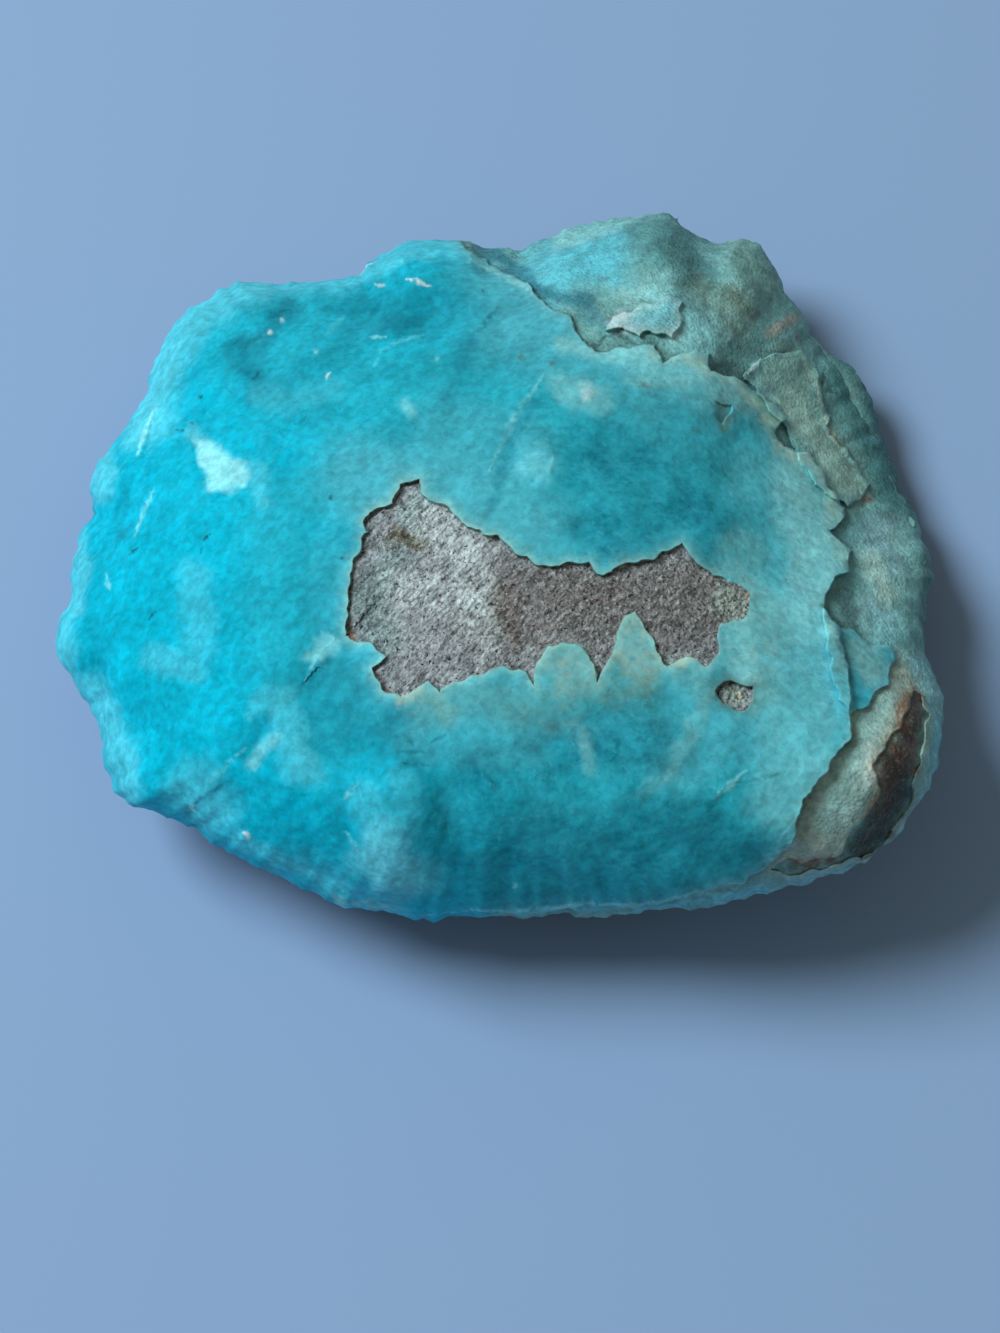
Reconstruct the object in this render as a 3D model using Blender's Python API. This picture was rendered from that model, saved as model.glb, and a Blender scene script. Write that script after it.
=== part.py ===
"""A raw hemimorphite: one loose, crusted stone, 69 mm long, lying on its natural bottom.

The stone is drawn on its face, a plane that leans back from the ground. Outlines on the face are in
millimetres from its middle, u to the right and v up the face. A place on the face is raised or sunk
along its line to the sight point, so every outline keeps its drawn shape when seen from there. The
upper side is a dome over the rim, which lies nearly level and some way above the ground, with soft
lumps, dents and folds. The underside bulges down and in from the same rim, is broken flat in places, and
ends in one flat face on the ground, z = 0. The crust wraps a millimetre or two under the rim and ends
there in a ledge. Its other ledges are on the upper side.

Each side's mesh is laid out on a flat map, which is the face stretched towards the rim, so that the
steep flanks near the rim get as many points as the rest.
"""

import math

import bmesh
import bpy
import numpy as np
from mathutils import Vector, geometry, noise

MM = 0.001

# The face: how far it leans, where its middle is, and the point its outlines are drawn from.
FACE_LEAN = math.radians(28)
FACE_MIDDLE = (0.155, -1.325, 8.0)
SIGHT = (0.0, -7.95, 290.0)
FACE_RIGHT = np.array((1.0, 0.0, 0.0))
FACE_UP = np.array((0.0, math.cos(FACE_LEAN), math.sin(FACE_LEAN)))
FACE_OUT = np.array((0.0, -math.sin(FACE_LEAN), math.cos(FACE_LEAN)))
DOWN = np.array((0.0, 0.0, -1.0))

# The main form.
RIM_CENTRE = (0.8, -1.2)
RIM_FALL = math.tan(math.radians(30))
RIM_CLIMB = math.tan(math.radians(3.2))
DOME_HEIGHT = 15.5
DOME_POWER = 2.3
DOME_BEND = 0.6
UNDER_DEPTH = 14.0
UNDER_POWER = 3.4
UNDER_BEND = 0.46
UPRIGHT_FROM = -20.0
UPRIGHT_OVER = 35.0
RELIEF_GONE_AT = 0.5
FLATS_WHOLE_AT = 0.3

# The rim's own shape shows near the rim, and a softened one further in.
RIM_SOFTENING = math.radians(14)
SOFTENING_STEPS = 9
EXACT_FROM = 0.75
EXACT_OVER = 0.22

# The mesh: how closely its points stand, how much the map is stretched towards the rim, and how far a
# ledge's wall leans out to each side.
RIM_SPACING = 1.1
TOP_SPACING = 1.25
UNDER_SPACING = 1.9
LEDGE_SPACING = 0.85
KEEP_OFF = 0.45
JITTER = 0.2
MAP_STRETCH = 0.4
WALL_HALF = 0.14

# Unevenness: of broken edges, of the whole surface, the round lumps of the crust's flanks, and the
# flat chips of the broken stone under it.
EDGE_SWERVE = 0.35
ROUGHNESS = 0.28
ROUGH_SIZE = 4.0
LUMP_RISE = 1.1
LUMP_SIZE = 7.0
LUMP_HALF = 0.7
LUMPS_ON_TOP = 0.22
LUMPS_AT_RIM = 0.42
LUMPS_GROW_FROM = 0.8
LUMPS_WHOLE_AT = 0.35
CHIP_TILT = 0.3
CHIP_SIZE = 7.5

RIM = (
    (-35.1, -5.9), (-33.8, -2.0), (-33.2, 1.6), (-31.5, 4.1), (-32.3, 7.4), (-30.1, 10.2),
    (-28.2, 12.9), (-27.2, 16.1), (-25.7, 18.9), (-23.1, 20.9), (-20.4, 22.2), (-15.7, 22.6),
    (-11.5, 22.9), (-10.3, 24.2), (-8.2, 25.4), (-4.7, 25.6), (-0.8, 24.7), (3.1, 25.3), (7.0, 26.7),
    (9.6, 27.6), (13.8, 27.7), (14.9, 26.5), (16.3, 25.4), (19.6, 25.6), (21.2, 24.2), (21.8, 21.9),
    (23.6, 19.5), (24.4, 17.9), (26.9, 15.5), (28.2, 14.0), (29.6, 10.4), (31.9, 4.7), (32.9, 2.3),
    (33.8, -0.1), (33.5, -3.5), (33.2, -7.0), (34.3, -9.8), (34.9, -11.5), (34.8, -12.9), (34.1, -15.3),
    (33.4, -17.5), (32.1, -19.8), (30.4, -22.8), (28.3, -24.1), (23.5, -25.0), (19.0, -26.0),
    (17.4, -26.8), (12.9, -27.3), (7.8, -27.6), (4.7, -27.6), (-1.6, -27.4), (-5.5, -28.0),
    (-8.2, -27.3), (-12.5, -26.6), (-17.2, -24.7), (-22.3, -21.8), (-26.2, -19.8), (-29.6, -18.9),
    (-30.7, -16.1), (-31.0, -13.3), (-32.1, -11.0), (-33.5, -8.8),
)

# The blue crust ends in a ledge along its back and right. Its last points run outside the rim.
CRUST = (
    (-3.5, 25.6), (-2.7, 24.5), (-0.2, 23.4), (2.2, 22.3), (3.6, 20.5), (5.6, 19.3), (6.4, 17.5),
    (7.8, 16.7), (12.1, 17.3), (12.8, 15.9), (14.0, 16.5), (16.4, 16.6), (16.6, 15.3), (19.3, 14.4),
    (21.5, 12.9), (22.7, 11.4), (21.6, 10.4), (22.2, 9.2), (24.4, 8.3), (25.1, 7.5), (25.6, 6.0),
    (27.1, 4.5), (27.0, 3.5), (25.9, 2.7), (27.4, 1.1), (27.2, -0.5), (26.2, -0.9), (25.2, -3.4),
    (26.5, -4.9), (27.3, -7.4), (27.6, -10.6), (27.4, -13.4), (25.8, -15.8), (24.4, -17.5),
    (23.6, -19.6), (22.7, -21.7), (21.1, -23.4), (18.8, -24.7), (16.5, -25.4), (14.7, -25.9),
    (11.0, -26.9), (7.8, -27.2), (4.7, -27.2), (2.0, -27.1), (0.0, -27.3), (-2.3, -28.6), (-9.4, -34.1),
    (-42.3, -34.1), (-42.3, 30.1), (-4.7, 30.1),
)

# The pale window where the crust has split away, and what else is broken out of the crust.
WINDOW = (
    (-7.8, 6.3), (-6.4, 6.6), (-6.1, 5.6), (-4.4, 4.5), (-2.3, 3.1), (-1.4, 2.4), (-0.2, 2.3),
    (1.1, 0.9), (3.1, -0.1), (5.9, 0.2), (7.0, 0.4), (7.7, -0.5), (8.8, -0.7), (9.6, 0.0), (12.1, 0.5),
    (12.7, 1.1), (14.3, 1.9), (15.4, 0.3), (16.8, -0.8), (18.4, -1.2), (19.6, -2.0), (19.7, -3.2),
    (18.8, -4.1), (17.4, -4.5), (16.9, -5.9), (17.1, -7.0), (16.1, -7.9), (14.7, -7.2), (13.2, -7.8),
    (12.2, -6.3), (11.5, -4.9), (10.6, -3.6), (9.7, -4.0), (9.0, -5.6), (8.8, -7.0), (8.1, -8.1),
    (7.6, -9.2), (7.5, -7.8), (6.1, -6.3), (3.7, -6.3), (3.0, -7.6), (2.6, -9.2), (1.5, -8.1),
    (0.0, -8.0), (-1.6, -8.6), (-3.5, -9.1), (-4.7, -10.1), (-5.6, -9.2), (-6.7, -9.6), (-7.7, -10.6),
    (-8.9, -9.8), (-10.0, -8.1), (-8.9, -7.2), (-10.2, -6.0), (-11.3, -6.1), (-12.1, -5.6),
    (-12.0, -3.7), (-11.8, -1.8), (-11.3, 0.7), (-10.7, 2.0), (-10.2, 2.6), (-10.6, 3.4), (-10.2, 4.1),
    (-8.5, 4.9),
)
PIT = (
    (17.1, -9.9), (17.5, -9.3), (18.6, -9.2), (19.7, -9.6), (19.8, -10.6), (19.3, -11.3), (18.3, -11.5),
    (17.4, -11.0),
)
SCAR = (
    (-24.3, 10.0), (-22.9, 10.0), (-22.1, 9.7), (-21.3, 8.8), (-19.4, 8.1), (-19.1, 7.4), (-19.6, 6.6),
    (-20.4, 5.6), (-21.3, 5.1), (-23.1, 6.0), (-24.0, 7.8),
)

# Layers that show past the crust's ledge, on the back and the right.
PALE_FLAKE = (
    (8.2, 18.3), (8.8, 19.5), (10.3, 19.7), (11.4, 20.5), (13.4, 21.1), (14.2, 20.5), (14.1, 19.2),
    (13.5, 17.6), (11.7, 18.3), (10.9, 17.8), (9.6, 18.5),
)
TONGUE = (
    (25.4, -3.4), (26.5, -4.8), (28.0, -5.2), (29.3, -6.2), (30.5, -6.4), (31.0, -7.4), (30.4, -9.2),
    (29.4, -9.8), (28.8, -11.0), (27.4, -11.8), (26.5, -10.6), (25.8, -6.7),
)
SHELF = (
    (19.3, 15.0), (20.4, 16.4), (23.3, 16.8), (24.4, 16.1), (24.9, 14.0), (25.8, 11.7), (25.9, 10.3),
    (27.2, 8.8), (28.9, 6.3), (28.5, 5.2), (27.2, 4.5), (24.7, 6.3), (22.7, 9.8), (21.1, 12.5),
)
STAIN = (
    (32.4, -9.3), (33.1, -10.2), (33.4, -11.7), (32.5, -16.4), (32.3, -18.3), (30.8, -21.3),
    (30.2, -22.8), (26.6, -23.6), (22.6, -24.0), (21.0, -23.7), (22.4, -22.9), (24.1, -23.2),
    (26.6, -22.6), (27.9, -20.8), (29.2, -18.6), (29.8, -17.5), (29.1, -15.6), (31.2, -12.9),
    (32.1, -11.2),
)

# Each ledge's outline and step. Inside its outline the surface stands higher, or lower if negative.
LEDGES = (
    (CRUST, 1.2),
    (WINDOW, -0.6),
    (PIT, -0.6),
    (SCAR, -0.12),
    (PALE_FLAKE, 0.7),
    (TONGUE, 0.7),
    (SHELF, 0.55),
    (STAIN, -0.4),
)

# Soft lumps and dents: u, v, half width, half height, rise.
SWELLS = (
    (-19.6, 16.8, 3.6, 3.2, -0.7),
    (-6.3, 19.4, 5.0, 2.2, -0.9),
    (-7.0, 23.5, 3.4, 2.2, 0.6),
    (-8.4, -20.9, 2.8, 4.6, 1.0),
    (-3.8, -20.3, 2.2, 4.6, -0.7),
    (2.5, 7.8, 1.9, 1.8, 0.4),
    (-31.4, 7.0, 1.8, 2.2, 0.6),
    (-33.0, -4.0, 2.0, 3.2, 0.6),
    (4.7, 23.6, 3.0, 2.2, 0.7),
    (12.2, 24.6, 3.0, 2.4, 0.9),
    (15.6, 24.2, 1.0, 2.6, -0.8),
    (19.2, 22.4, 2.4, 3.0, 0.7),
    (18.4, 16.0, 2.4, 1.2, -0.6),
    (22.0, 18.8, 1.6, 1.4, 0.4),
    (31.5, -14.5, 2.2, 3.0, 0.6),
    (14.0, -18.0, 6.0, 4.5, 0.5),
    (9.6, 8.4, 3.4, 1.6, -0.35),
    (-15.5, -2.0, 4.0, 7.0, 0.4),
    (-25.0, -13.0, 3.0, 3.6, 0.5),
    (-16.5, -15.5, 2.0, 3.5, 0.35),
    (27.0, 11.0, 9.0, 13.0, -7.0),
    (31.0, -16.0, 8.0, 7.0, 4.0),
    (33.0, 4.0, 6.0, 8.0, -2.5),
    (0.0, -28.0, 18.0, 7.0, -3.5),
)

# Low steps beside a line. The stone is lower on the line's left, by this drop, and rises again
# further out: line, drop, reach, width.
FOLDS = (
    (
        ((-12.1, -5.5), (-14.9, -7.8), (-18.4, -13.3), (-20.4, -14.9), (-23.5, -18.4)),
        0.3,
        4.5,
        3.2,
    ),
    (
        ((-31.5, -14.0), (-33.2, -6.5), (-31.8, -1.0), (-30.2, 5.0), (-28.8, 9.5), (-27.0, 12.6)),
        0.5,
        3.0,
        1.0,
    ),
)

# Flats broken off the flanks and the underside: compass angle, angle below level, and how deep.
FLATS = (
    (-80, 38, 2.4), (-52, 22, 1.2), (-20, 45, 2.6), (12, 20, 1.4), (38, 42, 2.8), (72, 25, 1.6),
    (104, 48, 3.0), (128, 20, 1.5), (158, 40, 2.6), (-160, 22, 1.4), (-132, 46, 2.8), (-104, 18, 1.2),
)  # fmt: skip

# The crust wraps under the rim and ends in a ledge: where on the map, how uneven, and how deep.
WRAP_SHARE = 0.955
WRAP_SWERVE = 0.03
WRAP_SIZE = 7.0
WRAP_STEP = 0.9

COLOUR = (0.02, 0.42, 0.60, 1.0)
SURFACE_ROUGHNESS = 0.42
SHARP_ANGLE = math.radians(38)
SEED = 7


def smooth(share):
    """An S-curve from 0 to 1."""
    share = np.clip(share, 0.0, 1.0)
    return share * share * (3.0 - 2.0 * share)


def distance_to(points, starts, ends):
    """Each point's distance to the nearest of some straight runs."""
    run = ends - starts
    offset = points[:, None] - starts
    share = np.clip((offset * run).sum(axis=-1) / (run * run).sum(axis=-1), 0.0, 1.0)
    return np.linalg.norm(offset - share[..., None] * run, axis=-1).min(axis=1)


def depth_inside(points, line):
    """Each point's distance to a closed line, negative outside it."""
    following = np.roll(line, -1, axis=0)
    level = points[:, None, 1]
    crossed = (line[:, 1] > level) != (following[:, 1] > level)
    climb = np.where(following[:, 1] == line[:, 1], 1.0, following[:, 1] - line[:, 1])
    crossing = line[:, 0] + (level - line[:, 1]) * (following[:, 0] - line[:, 0]) / climb
    inside = (crossed & (points[:, None, 0] < crossing)).sum(axis=1) % 2 == 1
    distance = distance_to(points, line, following)
    return np.where(inside, distance, -distance)


def shifted(line, distance):
    """A closed line moved sideways, to its left."""
    along = np.roll(line, -1, axis=0) - np.roll(line, 1, axis=0)
    along /= np.linalg.norm(along, axis=1)[:, None]
    return line + np.column_stack((-along[:, 1], along[:, 0])) * distance


def rounded(corners):
    """A closed outline with its corners cut off, a quarter of the way to the next."""
    line = np.array(corners)
    following = np.roll(line, -1, axis=0)
    pairs = np.stack((line + (following - line) * 0.25, line + (following - line) * 0.75), axis=1)
    return pairs.reshape(-1, 2)


def broken(corners, spacing):
    """A closed outline with points at most a spacing apart, as uneven as a broken edge."""
    points = []
    line = np.array(corners)
    for start, end in zip(line, np.roll(line, -1, axis=0)):
        steps = max(1, math.ceil(math.dist(start, end) / spacing))
        points.extend(start + (end - start) * step / steps for step in range(steps))
    swerves = [EDGE_SWERVE * noise.noise(Vector((u, v, 0.5))) for u, v in points]
    return shifted(np.array(points), np.array(swerves)[:, None])


class Ledge:
    """A step in the surface along a closed line. It rises inside the line, or sinks if negative."""

    def __init__(self, line, step):
        self.line = line
        self.step = step

    def walls(self):
        """The top and the foot of the step's wall."""
        return [shifted(self.line, side * WALL_HALF) for side in (1.0, -1.0)]

    def inside(self, points):
        """0 outside the line and 1 inside it, with a steep wall between them."""
        return smooth(0.5 + depth_inside(points, self.line) / (2.0 * WALL_HALF))

    def rise(self, points):
        return self.step * self.inside(points)


class Rim:
    """The stone's outline on the face, as a radius for each direction from its middle."""

    def __init__(self):
        self.line = broken(rounded(RIM), RIM_SPACING)
        offset = self.line - RIM_CENTRE
        angles = np.arctan2(offset[:, 1], offset[:, 0])
        order = np.argsort(angles)
        self.angles = angles[order]
        self.radii = np.linalg.norm(offset, axis=1)[order]
        turns = np.linspace(-RIM_SOFTENING, RIM_SOFTENING, SOFTENING_STEPS)
        self.soft_radii = np.mean([self.radius(self.angles + turn) for turn in turns], axis=0)

    def radius(self, angles, soft=False):
        radii = self.soft_radii if soft else self.radii
        return np.interp(angles, self.angles, radii, period=2 * math.pi)

    def polar(self, points):
        """The offset of points from the middle, their directions and their reach."""
        offset = points - RIM_CENTRE
        return offset, np.arctan2(offset[:, 1], offset[:, 0]), np.linalg.norm(offset, axis=1)

    def to_map(self, points):
        """The map's places for some places on the face."""
        offset, angles, reach = self.polar(points)
        share = np.clip(reach / self.radius(angles), 1e-6, 1.0)
        inset = 1.0 - share
        half = 2.0 * (1.0 + MAP_STRETCH)
        stretched = (inset + np.sqrt(inset * inset + 2.0 * half * inset * MAP_STRETCH)) / half
        return RIM_CENTRE + offset * ((1.0 - stretched) / share)[:, None]

    def to_face(self, points):
        """The face's places for some places on the map."""
        offset, angles, reach = self.polar(points)
        share = np.clip(reach / self.radius(angles), 1e-6, 1.0)
        inset = 1.0 - share
        inset = inset * inset * (1.0 + MAP_STRETCH) / (inset + MAP_STRETCH)
        return RIM_CENTRE + offset * ((1.0 - inset) / share)[:, None]

    def share(self, points):
        """How far out each point is: 0 in the middle, 1 on the rim. Further in, the outline is softer."""
        _, angles, reach = self.polar(points)
        exact = np.clip(reach / self.radius(angles), 0.0, 1.0)
        soft = reach / self.radius(angles, soft=True)
        return np.clip(soft + (exact - soft) * smooth((exact - EXACT_FROM) / EXACT_OVER), 0.0, 1.0)


def fold(points, corners, drop, reach, width):
    """How far a fold lowers each point."""
    line = np.array(corners)
    distance = distance_to(points, line[:-1], line[1:])
    way = line[-1] - line[0]
    offset = points - line[0]
    left = np.sign(offset[:, 1] * way[0] - offset[:, 0] * way[1])
    fade = np.exp(-((distance / reach) ** 2))
    return -drop * fade * smooth(0.5 + left * distance / width)


def soft_relief(points):
    """The unevenness, lumps, dents and folds of the upper side."""
    basis = "PERLIN_NEW"
    places = [Vector((u / ROUGH_SIZE, v / ROUGH_SIZE, 3.7)) for u, v in points]
    height = ROUGHNESS * np.array([noise.fractal(place, 0.9, 2.1, 3, noise_basis=basis) for place in places])
    for u, v, half_width, half_height, rise in SWELLS:
        reach = ((points[:, 0] - u) / half_width) ** 2 + ((points[:, 1] - v) / half_height) ** 2
        height += rise * np.exp(-reach)
    for settings in FOLDS:
        height += fold(points, *settings)
    return height


def sight_lines(points):
    """The way each point goes as it is raised by a millimetre, as x, y, z."""
    slide = (np.array(SIGHT[:2]) - points) / SIGHT[2]
    return slide[:, :1] * FACE_RIGHT + slide[:, 1:] * FACE_UP + FACE_OUT


def raised(points, heights):
    """Places on the face, raised along their lines to the sight point, as x, y, z."""
    flat = points[:, :1] * FACE_RIGHT + points[:, 1:] * FACE_UP
    return np.array(FACE_MIDDLE) + flat + heights[:, None] * sight_lines(points)


def rim_plane(points):
    """How far off the face the rim's nearly level plane stands: more towards the front and the right."""
    return RIM_CLIMB * points[:, 0] - RIM_FALL * points[:, 1]


def upper_side(points, rim):
    dome = DOME_HEIGHT * (1.0 - rim.share(points) ** DOME_POWER) ** DOME_BEND
    return raised(points, dome + rim_plane(points) + soft_relief(points))


def bulge(points, rim):
    """How far down the underside is: 0 at the rim, 1 at its deepest."""
    return (1.0 - rim.share(points) ** UNDER_POWER) ** UNDER_BEND


def near_rim(deep):
    """How much of the upper side's relief carries on round the rim, from how far down a place is."""
    return (1.0 - smooth(deep / RELIEF_GONE_AT)) ** 2


def underside(points, rim):
    """The rim's plane, pushed down: straight away from the face in front, and upright behind."""
    deep = bulge(points, rim)
    start = raised(points, rim_plane(points) + soft_relief(points) * near_rim(deep))
    upright = (smooth((points[:, 1] - UPRIGHT_FROM) / UPRIGHT_OVER) * smooth(deep))[:, None]
    way = DOWN * upright - FACE_OUT * (1.0 - upright)
    whole = start + way * (UNDER_DEPTH * deep)[:, None]
    return whole + (with_flats(whole) - whole) * smooth(deep / FLATS_WHOLE_AT)[:, None]


def with_flats(places):
    """The underside with the flats broken off."""
    left = places.copy()
    for compass, fall, depth in FLATS:
        compass, fall = math.radians(compass), math.radians(fall)
        level = math.cos(fall)
        facing = np.array((level * math.sin(compass), level * math.cos(compass), -math.sin(fall)))
        limit = (places @ facing).max() - depth
        left -= np.maximum(left @ facing - limit, 0.0)[:, None] * facing
    return left


def wrap_line(rim):
    """Where the crust ends under the rim, as a closed line on the underside's map."""
    offset = rim.line - RIM_CENTRE
    swerve = [noise.fractal(Vector((u / WRAP_SIZE, v / WRAP_SIZE, 9.1)), 0.8, 2.2, 3) for u, v in rim.line]
    return RIM_CENTRE + offset * (WRAP_SHARE + WRAP_SWERVE * np.array(swerve))[:, None]


def lumps(places):
    """How far a crust that grew in grapes stands out at each place."""
    nearest = np.array([noise.voronoi(Vector(place / LUMP_SIZE))[0][0] for place in places])
    return LUMP_RISE * (0.5 - (nearest / LUMP_HALF) ** 2)


def chips(places):
    """How far broken stone stands out at each place: each chip is a flat with its own tilt."""
    heights = []
    for place in places:
        middle = noise.voronoi(Vector(place / CHIP_SIZE))[1][0]
        tilt = noise.noise_vector(middle * 5.3)
        heights.append(CHIP_TILT * tilt.dot(Vector(place) - middle * CHIP_SIZE))
    return np.array(heights)


def scattered(rim, spacing, keep_off):
    """Points that fill the rim's map in an uneven grid, none too near the lines given."""
    random = np.random.default_rng(SEED)
    low = rim.line.min(axis=0)
    high = rim.line.max(axis=0)
    rows = []
    for number, v in enumerate(np.arange(low[1], high[1], spacing * math.sqrt(0.75))):
        across = np.arange(low[0], high[0], spacing) + 0.5 * spacing * (number % 2)
        rows.append(np.column_stack((across, np.full_like(across, v))))
    points = np.concatenate(rows)
    points += random.uniform(-JITTER, JITTER, points.shape) * spacing
    points = points[depth_inside(points, rim.line) > 0.5 * spacing]
    for line in keep_off:
        points = points[distance_to(points, line, np.roll(line, -1, axis=0)) > KEEP_OFF * spacing]
    return points


def triangulated(rim, lines, spacing):
    """Points and triangles that fill the rim's map. The lines given stay edges.

    The last value is, for each point, its number on the rim, or a number past the rim's last.
    """
    points = [tuple(point) for point in rim.line]
    edges = [(i, (i + 1) % len(points)) for i in range(len(points))]
    for line in lines:
        numbers = {}
        for i in np.flatnonzero(depth_inside(line, rim.line) > 0.3):
            numbers[i] = len(points)
            points.append(tuple(line[i]))
        for i, number in numbers.items():
            following = (i + 1) % len(line)
            if following in numbers:
                edges.append((number, numbers[following]))
    points.extend(tuple(point) for point in scattered(rim, spacing, lines))
    found, _, faces, sources, _, _ = geometry.delaunay_2d_cdt(points, edges, [], 0, 1e-5, True)
    found = np.array([tuple(point) for point in found])
    faces = np.array(faces)
    faces = faces[depth_inside(found[faces].mean(axis=1), rim.line) > 0.0]
    return found, faces, np.array([min(source, default=len(points)) for source in sources])


def normals(places, faces):
    """The direction that each vertex faces."""
    a, b, c = (places[faces[:, corner]] for corner in range(3))
    facing = np.cross(b - a, c - a)
    total = np.zeros_like(places)
    for corner in range(3):
        np.add.at(total, faces[:, corner], facing)
    return total / np.linalg.norm(total, axis=1)[:, None]


def stone_points():
    """The stone's vertices as x, y, z and its triangles. Both sides share the rim's vertices."""
    rim = Rim()
    ledges = [Ledge(broken(corners, LEDGE_SPACING), step) for corners, step in LEDGES]
    wrap = Ledge(wrap_line(rim), WRAP_STEP)

    walls = [rim.to_map(wall) for ledge in ledges for wall in ledge.walls()]
    points, faces, numbers = triangulated(rim, walls, TOP_SPACING)
    top = rim.to_face(points)
    on_rim = {number: i for i, number in enumerate(numbers) if number < len(rim.line)}

    under_points, under_faces, under_numbers = triangulated(rim, wrap.walls(), UNDER_SPACING)
    fresh = np.flatnonzero(under_numbers >= len(rim.line))
    renumbered = np.array([on_rim.get(number, -1) for number in under_numbers])
    renumbered[fresh] = len(top) + np.arange(len(fresh))
    under = rim.to_face(under_points)[fresh]
    faces = np.concatenate((faces, renumbered[under_faces][:, ::-1]))

    form = np.concatenate((upper_side(top, rim), underside(under, rim)))
    deep = bulge(under, rim)
    bare = wrap.inside(under_points[fresh])
    to_rim = smooth((rim.share(top) - LUMPS_GROW_FROM) / (1.0 - LUMPS_GROW_FROM))
    on_top = LUMPS_ON_TOP + (LUMPS_AT_RIM - LUMPS_ON_TOP) * to_rim
    beneath = LUMPS_AT_RIM + (1.0 - LUMPS_AT_RIM) * smooth(deep / LUMPS_WHOLE_AT)
    out = np.concatenate((on_top, beneath * (1.0 - bare))) * lumps(form)
    out[len(top) :] += bare * (chips(form[len(top) :]) - WRAP_STEP)

    up = np.zeros(len(form))
    for ledge in ledges:
        up[: len(top)] += ledge.rise(top)
        up[len(top) :] += ledge.rise(under) * near_rim(deep)
    ways = sight_lines(np.concatenate((top, under)))
    return form + out[:, None] * normals(form, faces) + up[:, None] * ways, faces


def stone_mesh():
    """The closed mesh, cut flat on the ground."""
    places, faces = stone_points()
    mesh = bpy.data.meshes.new("hemimorphite_stone")
    mesh.from_pydata(places.tolist(), [], faces.tolist())
    shape = bmesh.new()
    shape.from_mesh(mesh)
    cut = bmesh.ops.bisect_plane(
        shape,
        geom=[*shape.verts, *shape.edges, *shape.faces],
        dist=1e-4,
        plane_co=(0.0, 0.0, 0.0),
        plane_no=DOWN,
        clear_outer=True,
    )
    ground = [item for item in cut["geom_cut"] if isinstance(item, bmesh.types.BMEdge)]
    bmesh.ops.contextual_create(shape, geom=ground)
    bmesh.ops.recalc_face_normals(shape, faces=shape.faces)
    bmesh.ops.scale(shape, vec=(MM, MM, MM), verts=shape.verts)
    shape.to_mesh(mesh)
    shape.free()
    return mesh


def crust_material():
    material = bpy.data.materials.new("blue_crust")
    material.use_nodes = True
    shader = material.node_tree.nodes["Principled BSDF"]
    shader.inputs["Base Color"].default_value = COLOUR
    shader.inputs["Roughness"].default_value = SURFACE_ROUGHNESS
    shader.inputs["Metallic"].default_value = 0.0
    return material


def main():
    for item in list(bpy.data.objects):
        bpy.data.objects.remove(item)
    mesh = stone_mesh()
    mesh.shade_smooth()
    mesh.set_sharp_from_angle(angle=SHARP_ANGLE)
    mesh.materials.append(crust_material())
    stone = bpy.data.objects.new("hemimorphite_stone", mesh)
    bpy.context.scene.collection.objects.link(stone)


main()
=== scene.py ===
"""The looks of a raw hemimorphite: one loose, crusted stone, 69 mm long, lying on its natural bottom.

The stone is drawn on its face, a plane that leans back from the ground. Outlines and colours on the
face are in millimetres from its middle, u to the right and v up the face. A place on the face is raised
or sunk along its line to the sight point, so every outline keeps its drawn shape when seen from there.
The upper side is a dome over the rim, with the crust's ledges, lumps and dents on it. The underside
bulges down and back from the same rim and ends flat on the ground. The crust wraps a millimetre or two
under the rim and ends there in a ledge over bare stone.

Each side's mesh is laid out on a flat map, which is the face stretched towards the rim, so that the
steep flanks near the rim get as many points as the rest. The mesh is finest along ledges, in broken
stone and round small marks. Its colour is laid on as soft strokes, and the finishes add the grain.
"""

import logging
import math
from dataclasses import dataclass, field
from enum import Enum

import bmesh
import bpy
import numpy as np
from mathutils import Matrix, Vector, geometry, kdtree, noise


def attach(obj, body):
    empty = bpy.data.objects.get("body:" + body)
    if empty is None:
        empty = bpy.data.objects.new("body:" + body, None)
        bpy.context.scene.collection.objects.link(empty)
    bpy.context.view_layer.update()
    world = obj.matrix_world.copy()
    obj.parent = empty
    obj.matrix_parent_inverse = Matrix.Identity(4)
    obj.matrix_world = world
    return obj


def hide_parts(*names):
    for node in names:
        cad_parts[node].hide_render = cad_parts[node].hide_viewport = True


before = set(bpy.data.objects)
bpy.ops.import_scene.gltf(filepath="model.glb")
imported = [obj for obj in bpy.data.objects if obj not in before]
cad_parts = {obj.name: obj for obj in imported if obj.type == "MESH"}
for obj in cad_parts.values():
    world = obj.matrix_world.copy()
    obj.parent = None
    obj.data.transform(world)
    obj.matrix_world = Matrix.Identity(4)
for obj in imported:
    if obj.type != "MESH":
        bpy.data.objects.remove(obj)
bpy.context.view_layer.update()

Pair = tuple[float, float]
Triple = tuple[float, float, float]
Points = np.ndarray
Socket = bpy.types.NodeSocket

LOG = logging.getLogger("hemimorphite")
MM = 0.001
SEED = 7
TINY = 1e-12
NODE = "hemimorphite_stone"
BODY = "root"
TONE_NAME = "tone"
MOTTLE_NAME = "mottle"
NOISE_ROUGHNESS = 0.9
NOISE_LACUNARITY = 2.1


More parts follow.
